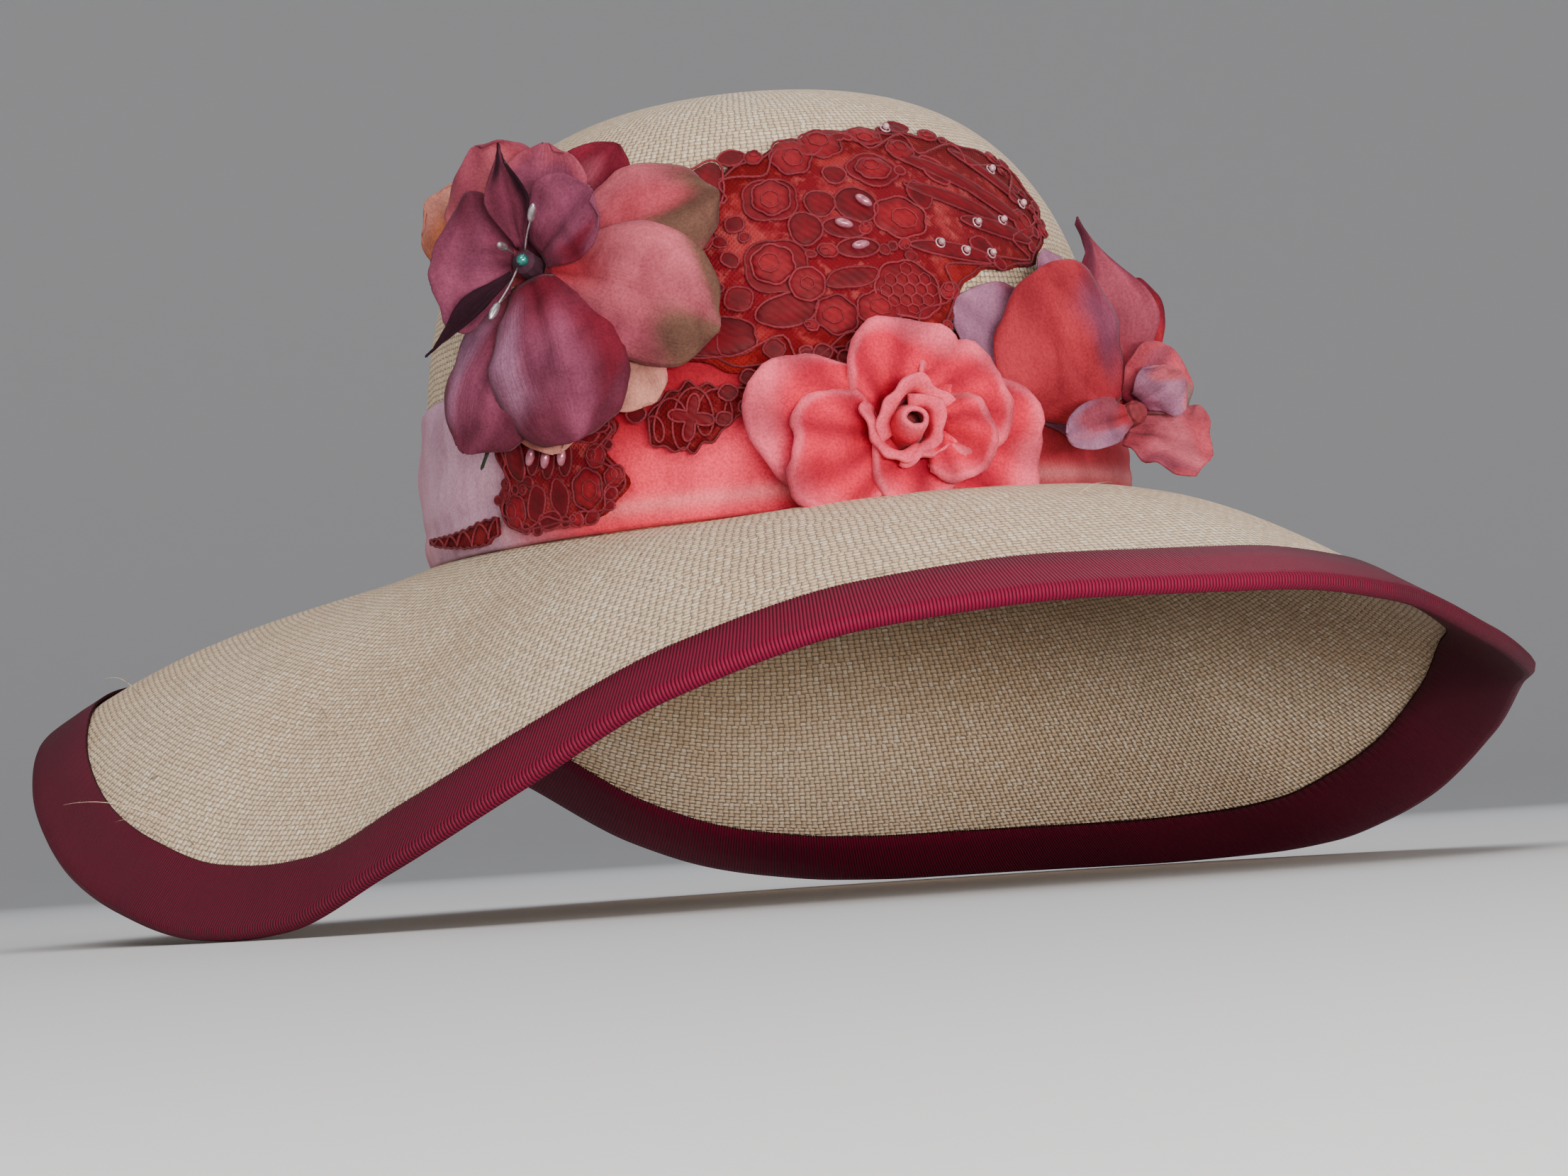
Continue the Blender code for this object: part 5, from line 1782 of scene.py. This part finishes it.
class STRAWHAT_OT_lace(Operator):
    """Builds the lace: nets, stitched pads and cords"""

    bl_idname = "strawhat.lace"
    bl_label = "Lace"

    def execute(self, context):
        radius = context.scene.trim_settings.cord_radius
        ground = lace_ground_finish()
        pads_finish = satin_finish("lace_pads", 500.0)
        cord_finish = satin_finish("lace_cords", 900.0)
        cover = Cover()
        for name, motifs in (("lace_crown", LACE_MOTIFS), ("lace_side", SIDE_MOTIFS)):
            pads = Heap()
            cords = Heap()
            build_patch(name, ground, cords, cover, radius)
            for motif in motifs + spare_motifs(name, motifs, 60):
                add_motif(pads, cords, cover, motif, radius)
            pads.piece(name + "_pads", pads_finish)
            cords.piece(name + "_cords", cord_finish)
        pads = Heap()
        cords = Heap()
        for name in LACE_STRIPS:
            build_strip(name, ground, cords, cover, radius)
        build_blossom(pads, cords, cover, radius)
        pads.piece("lace_blossom", pads_finish)
        cords.piece("lace_loops", cord_finish)
        return {"FINISHED"}


class STRAWHAT_OT_flowers(Operator):
    """Builds the left and right flowers and the rose"""

    bl_idname = "strawhat.flowers"
    bl_label = "Flowers"

    def execute(self, context):
        options = context.scene.trim_settings
        petal_velvet = velvet_finish("petal_velvet", 0.00022, 0.08, (1.0, 0.75, 0.85), 0.55, 0.14)
        rose_velvet = velvet_finish("rose_pile", 0.00028, 0.16, (1.0, 0.55, 0.6), 0.4)
        wall = options.petal_wall
        build_petals(LEFT_FRAME, LEFT_REACH, LEFT_PETALS, petal_velvet, wall)
        build_petals(RIGHT_FRAME, RIGHT_REACH, RIGHT_PETALS, petal_velvet, wall)
        build_rose_lobes(rose_velvet, options.rose_wall)
        build_whorls(rose_velvet, options.rose_wall)
        for node, color in CALYX_COLORS.items():
            surface = gloss_finish(node + "_cloth", color, 0.85, 0.0, 0.0)
            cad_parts[node].data.materials.clear()
            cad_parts[node].data.materials.append(surface)
        return {"FINISHED"}


class STRAWHAT_OT_beads(Operator):
    """Builds the beads, the pearls and the stamens"""

    bl_idname = "strawhat.beads"
    bl_label = "Beads and stamens"

    def execute(self, context):
        build_beads()
        build_stamens()
        return {"FINISHED"}


# Stage

CAMERA_DISTANCE = 1.2
CAMERA_LENS = 108.6
CAMERA_ELEVATION = math.radians(-3.0)
CAMERA_ROLL = math.radians(-3.9)
CAMERA_TARGET = SHIFT + Vector((0, 0, 0.0757))
FLOOR_RADIUS = 2.8
SWEEP_RADIUS = 1.6
BACKDROP_HEIGHT = 3.6
LIGHTS = (
    # name, place, size, watts, spread in degrees, colour
    ("key", (-0.55, -1.6, 1.5), 1.2, 20.0, 180, (1.0, 0.95, 0.88)),
    ("fill", (1.5, -1.2, 0.9), 1.4, 10.0, 180, (1.0, 0.94, 0.90)),
    ("back", (0.3, 1.6, 1.6), 1.2, 12.0, 180, (0.92, 0.95, 1.0)),
    ("top", (0.0, -0.1, 2.2), 1.6, 8.0, 180, (1.0, 0.98, 0.95)),
    ("low", (0.35, -1.3, 0.08), 0.9, 7.9, 120, (1.0, 0.96, 0.93)),
)


def build_camera():
    back = Vector((0, -math.cos(CAMERA_ELEVATION), math.sin(CAMERA_ELEVATION)))
    level = Vector((1, 0, 0))
    above = back.cross(level)
    right = math.cos(CAMERA_ROLL) * level + math.sin(CAMERA_ROLL) * above
    up = math.cos(CAMERA_ROLL) * above - math.sin(CAMERA_ROLL) * level
    basis = Matrix((right, up, back)).transposed().to_4x4()
    basis.translation = CAMERA_TARGET + back * CAMERA_DISTANCE
    camera = bpy.data.objects.new("camera", bpy.data.cameras.new("camera"))
    camera.matrix_world = basis
    camera.data.lens = CAMERA_LENS
    camera.data.sensor_width = 36
    camera.data.clip_start = 0.01
    bpy.context.scene.collection.objects.link(camera)
    bpy.context.scene.camera = camera


def build_floor():
    """A pale floor that sweeps up into a round backdrop."""
    section = [(0.6, 0.0), (1.6, 0.0), (FLOOR_RADIUS, 0.0)]
    for turn in range(10, 91, 10):
        swing = math.radians(turn)
        out = FLOOR_RADIUS + SWEEP_RADIUS * math.sin(swing)
        section.append((out, SWEEP_RADIUS * (1 - math.cos(swing))))
    section.append((FLOOR_RADIUS + SWEEP_RADIUS, BACKDROP_HEIGHT))
    around = 96
    grid = [[polar(360 * i / around, *place) for i in range(around)] for place in section]
    points, faces, _ = net(grid, loop_columns=True)
    faces.append(tuple(range(around)))
    mesh = bpy.data.meshes.new("floor")
    mesh.from_pydata([tuple(p) for p in points], [], faces)
    mesh.shade_smooth()
    made = Finish("floor_paper", Roughness=0.9, Specular_IOR_Level=0.1)
    grain = made.noise(made.coordinates(), 60.0, 3.0)
    color = made.mix(grain * 0.3, (0.66, 0.66, 0.67), (0.62, 0.62, 0.63))
    mesh.materials.append(made.done(color, made.bump(grain, 0.0002, 0.1)))
    floor = bpy.data.objects.new("floor", mesh)
    bpy.context.scene.collection.objects.link(floor)


def build_lights():
    for name, place, size, watts, spread, color in LIGHTS:
        light = bpy.data.lights.new(name, "AREA")
        light.shape = "ELLIPSE"
        light.size = size
        light.size_y = min(size, 2 * place[2])
        light.energy = watts
        light.spread = math.radians(spread)
        light.color = color
        holder = bpy.data.objects.new(name, light)
        holder.location = place
        holder.visible_camera = False
        aim = Vector((0, 0, 0.08)) - Vector(place)
        holder.rotation_euler = aim.to_track_quat("-Z", "Y").to_euler()
        bpy.context.scene.collection.objects.link(holder)
    world = bpy.data.worlds.new("studio")
    world.use_nodes = True
    background = world.node_tree.nodes["Background"]
    background.inputs[0].default_value = (0.80, 0.82, 0.86, 1)
    background.inputs[1].default_value = 0.42
    bpy.context.scene.world = world


class STRAWHAT_OT_stage(Operator):
    """Builds the floor, the lights and the camera"""

    bl_idname = "strawhat.stage"
    bl_label = "Stage"

    def execute(self, context):
        build_floor()
        build_lights()
        build_camera()
        return {"FINISHED"}


OPERATORS = (
    STRAWHAT_OT_straw,
    STRAWHAT_OT_ribbon,
    STRAWHAT_OT_lace,
    STRAWHAT_OT_flowers,
    STRAWHAT_OT_beads,
    STRAWHAT_OT_stage,
)


class STRAWHAT_PT_panel(Panel):
    """Lists the settings and the steps"""

    bl_idname = "STRAWHAT_PT_panel"
    bl_label = "Straw hat"
    bl_space_type = "VIEW_3D"
    bl_region_type = "UI"
    bl_category = "Straw hat"

    def draw(self, context):
        for group in (context.scene.straw_settings, context.scene.trim_settings):
            for key in group.bl_rna.properties.keys():
                if key not in ("rna_type", "name"):
                    self.layout.prop(group, key)
        for step in OPERATORS:
            self.layout.operator(step.bl_idname)


CLASSES = (StrawSettings, TrimSettings, *OPERATORS, STRAWHAT_PT_panel)


def register():
    for kind in CLASSES:
        bpy.utils.register_class(kind)
    bpy.types.Scene.straw_settings = PointerProperty(type=StrawSettings)
    bpy.types.Scene.trim_settings = PointerProperty(type=TrimSettings)


def unregister():
    del bpy.types.Scene.trim_settings
    del bpy.types.Scene.straw_settings
    for kind in reversed(CLASSES):
        bpy.utils.unregister_class(kind)


def main():
    register()
    for step in OPERATORS:
        group, name = step.bl_idname.split(".")
        getattr(getattr(bpy.ops, group), name)()


if __name__ == "__main__":
    main()
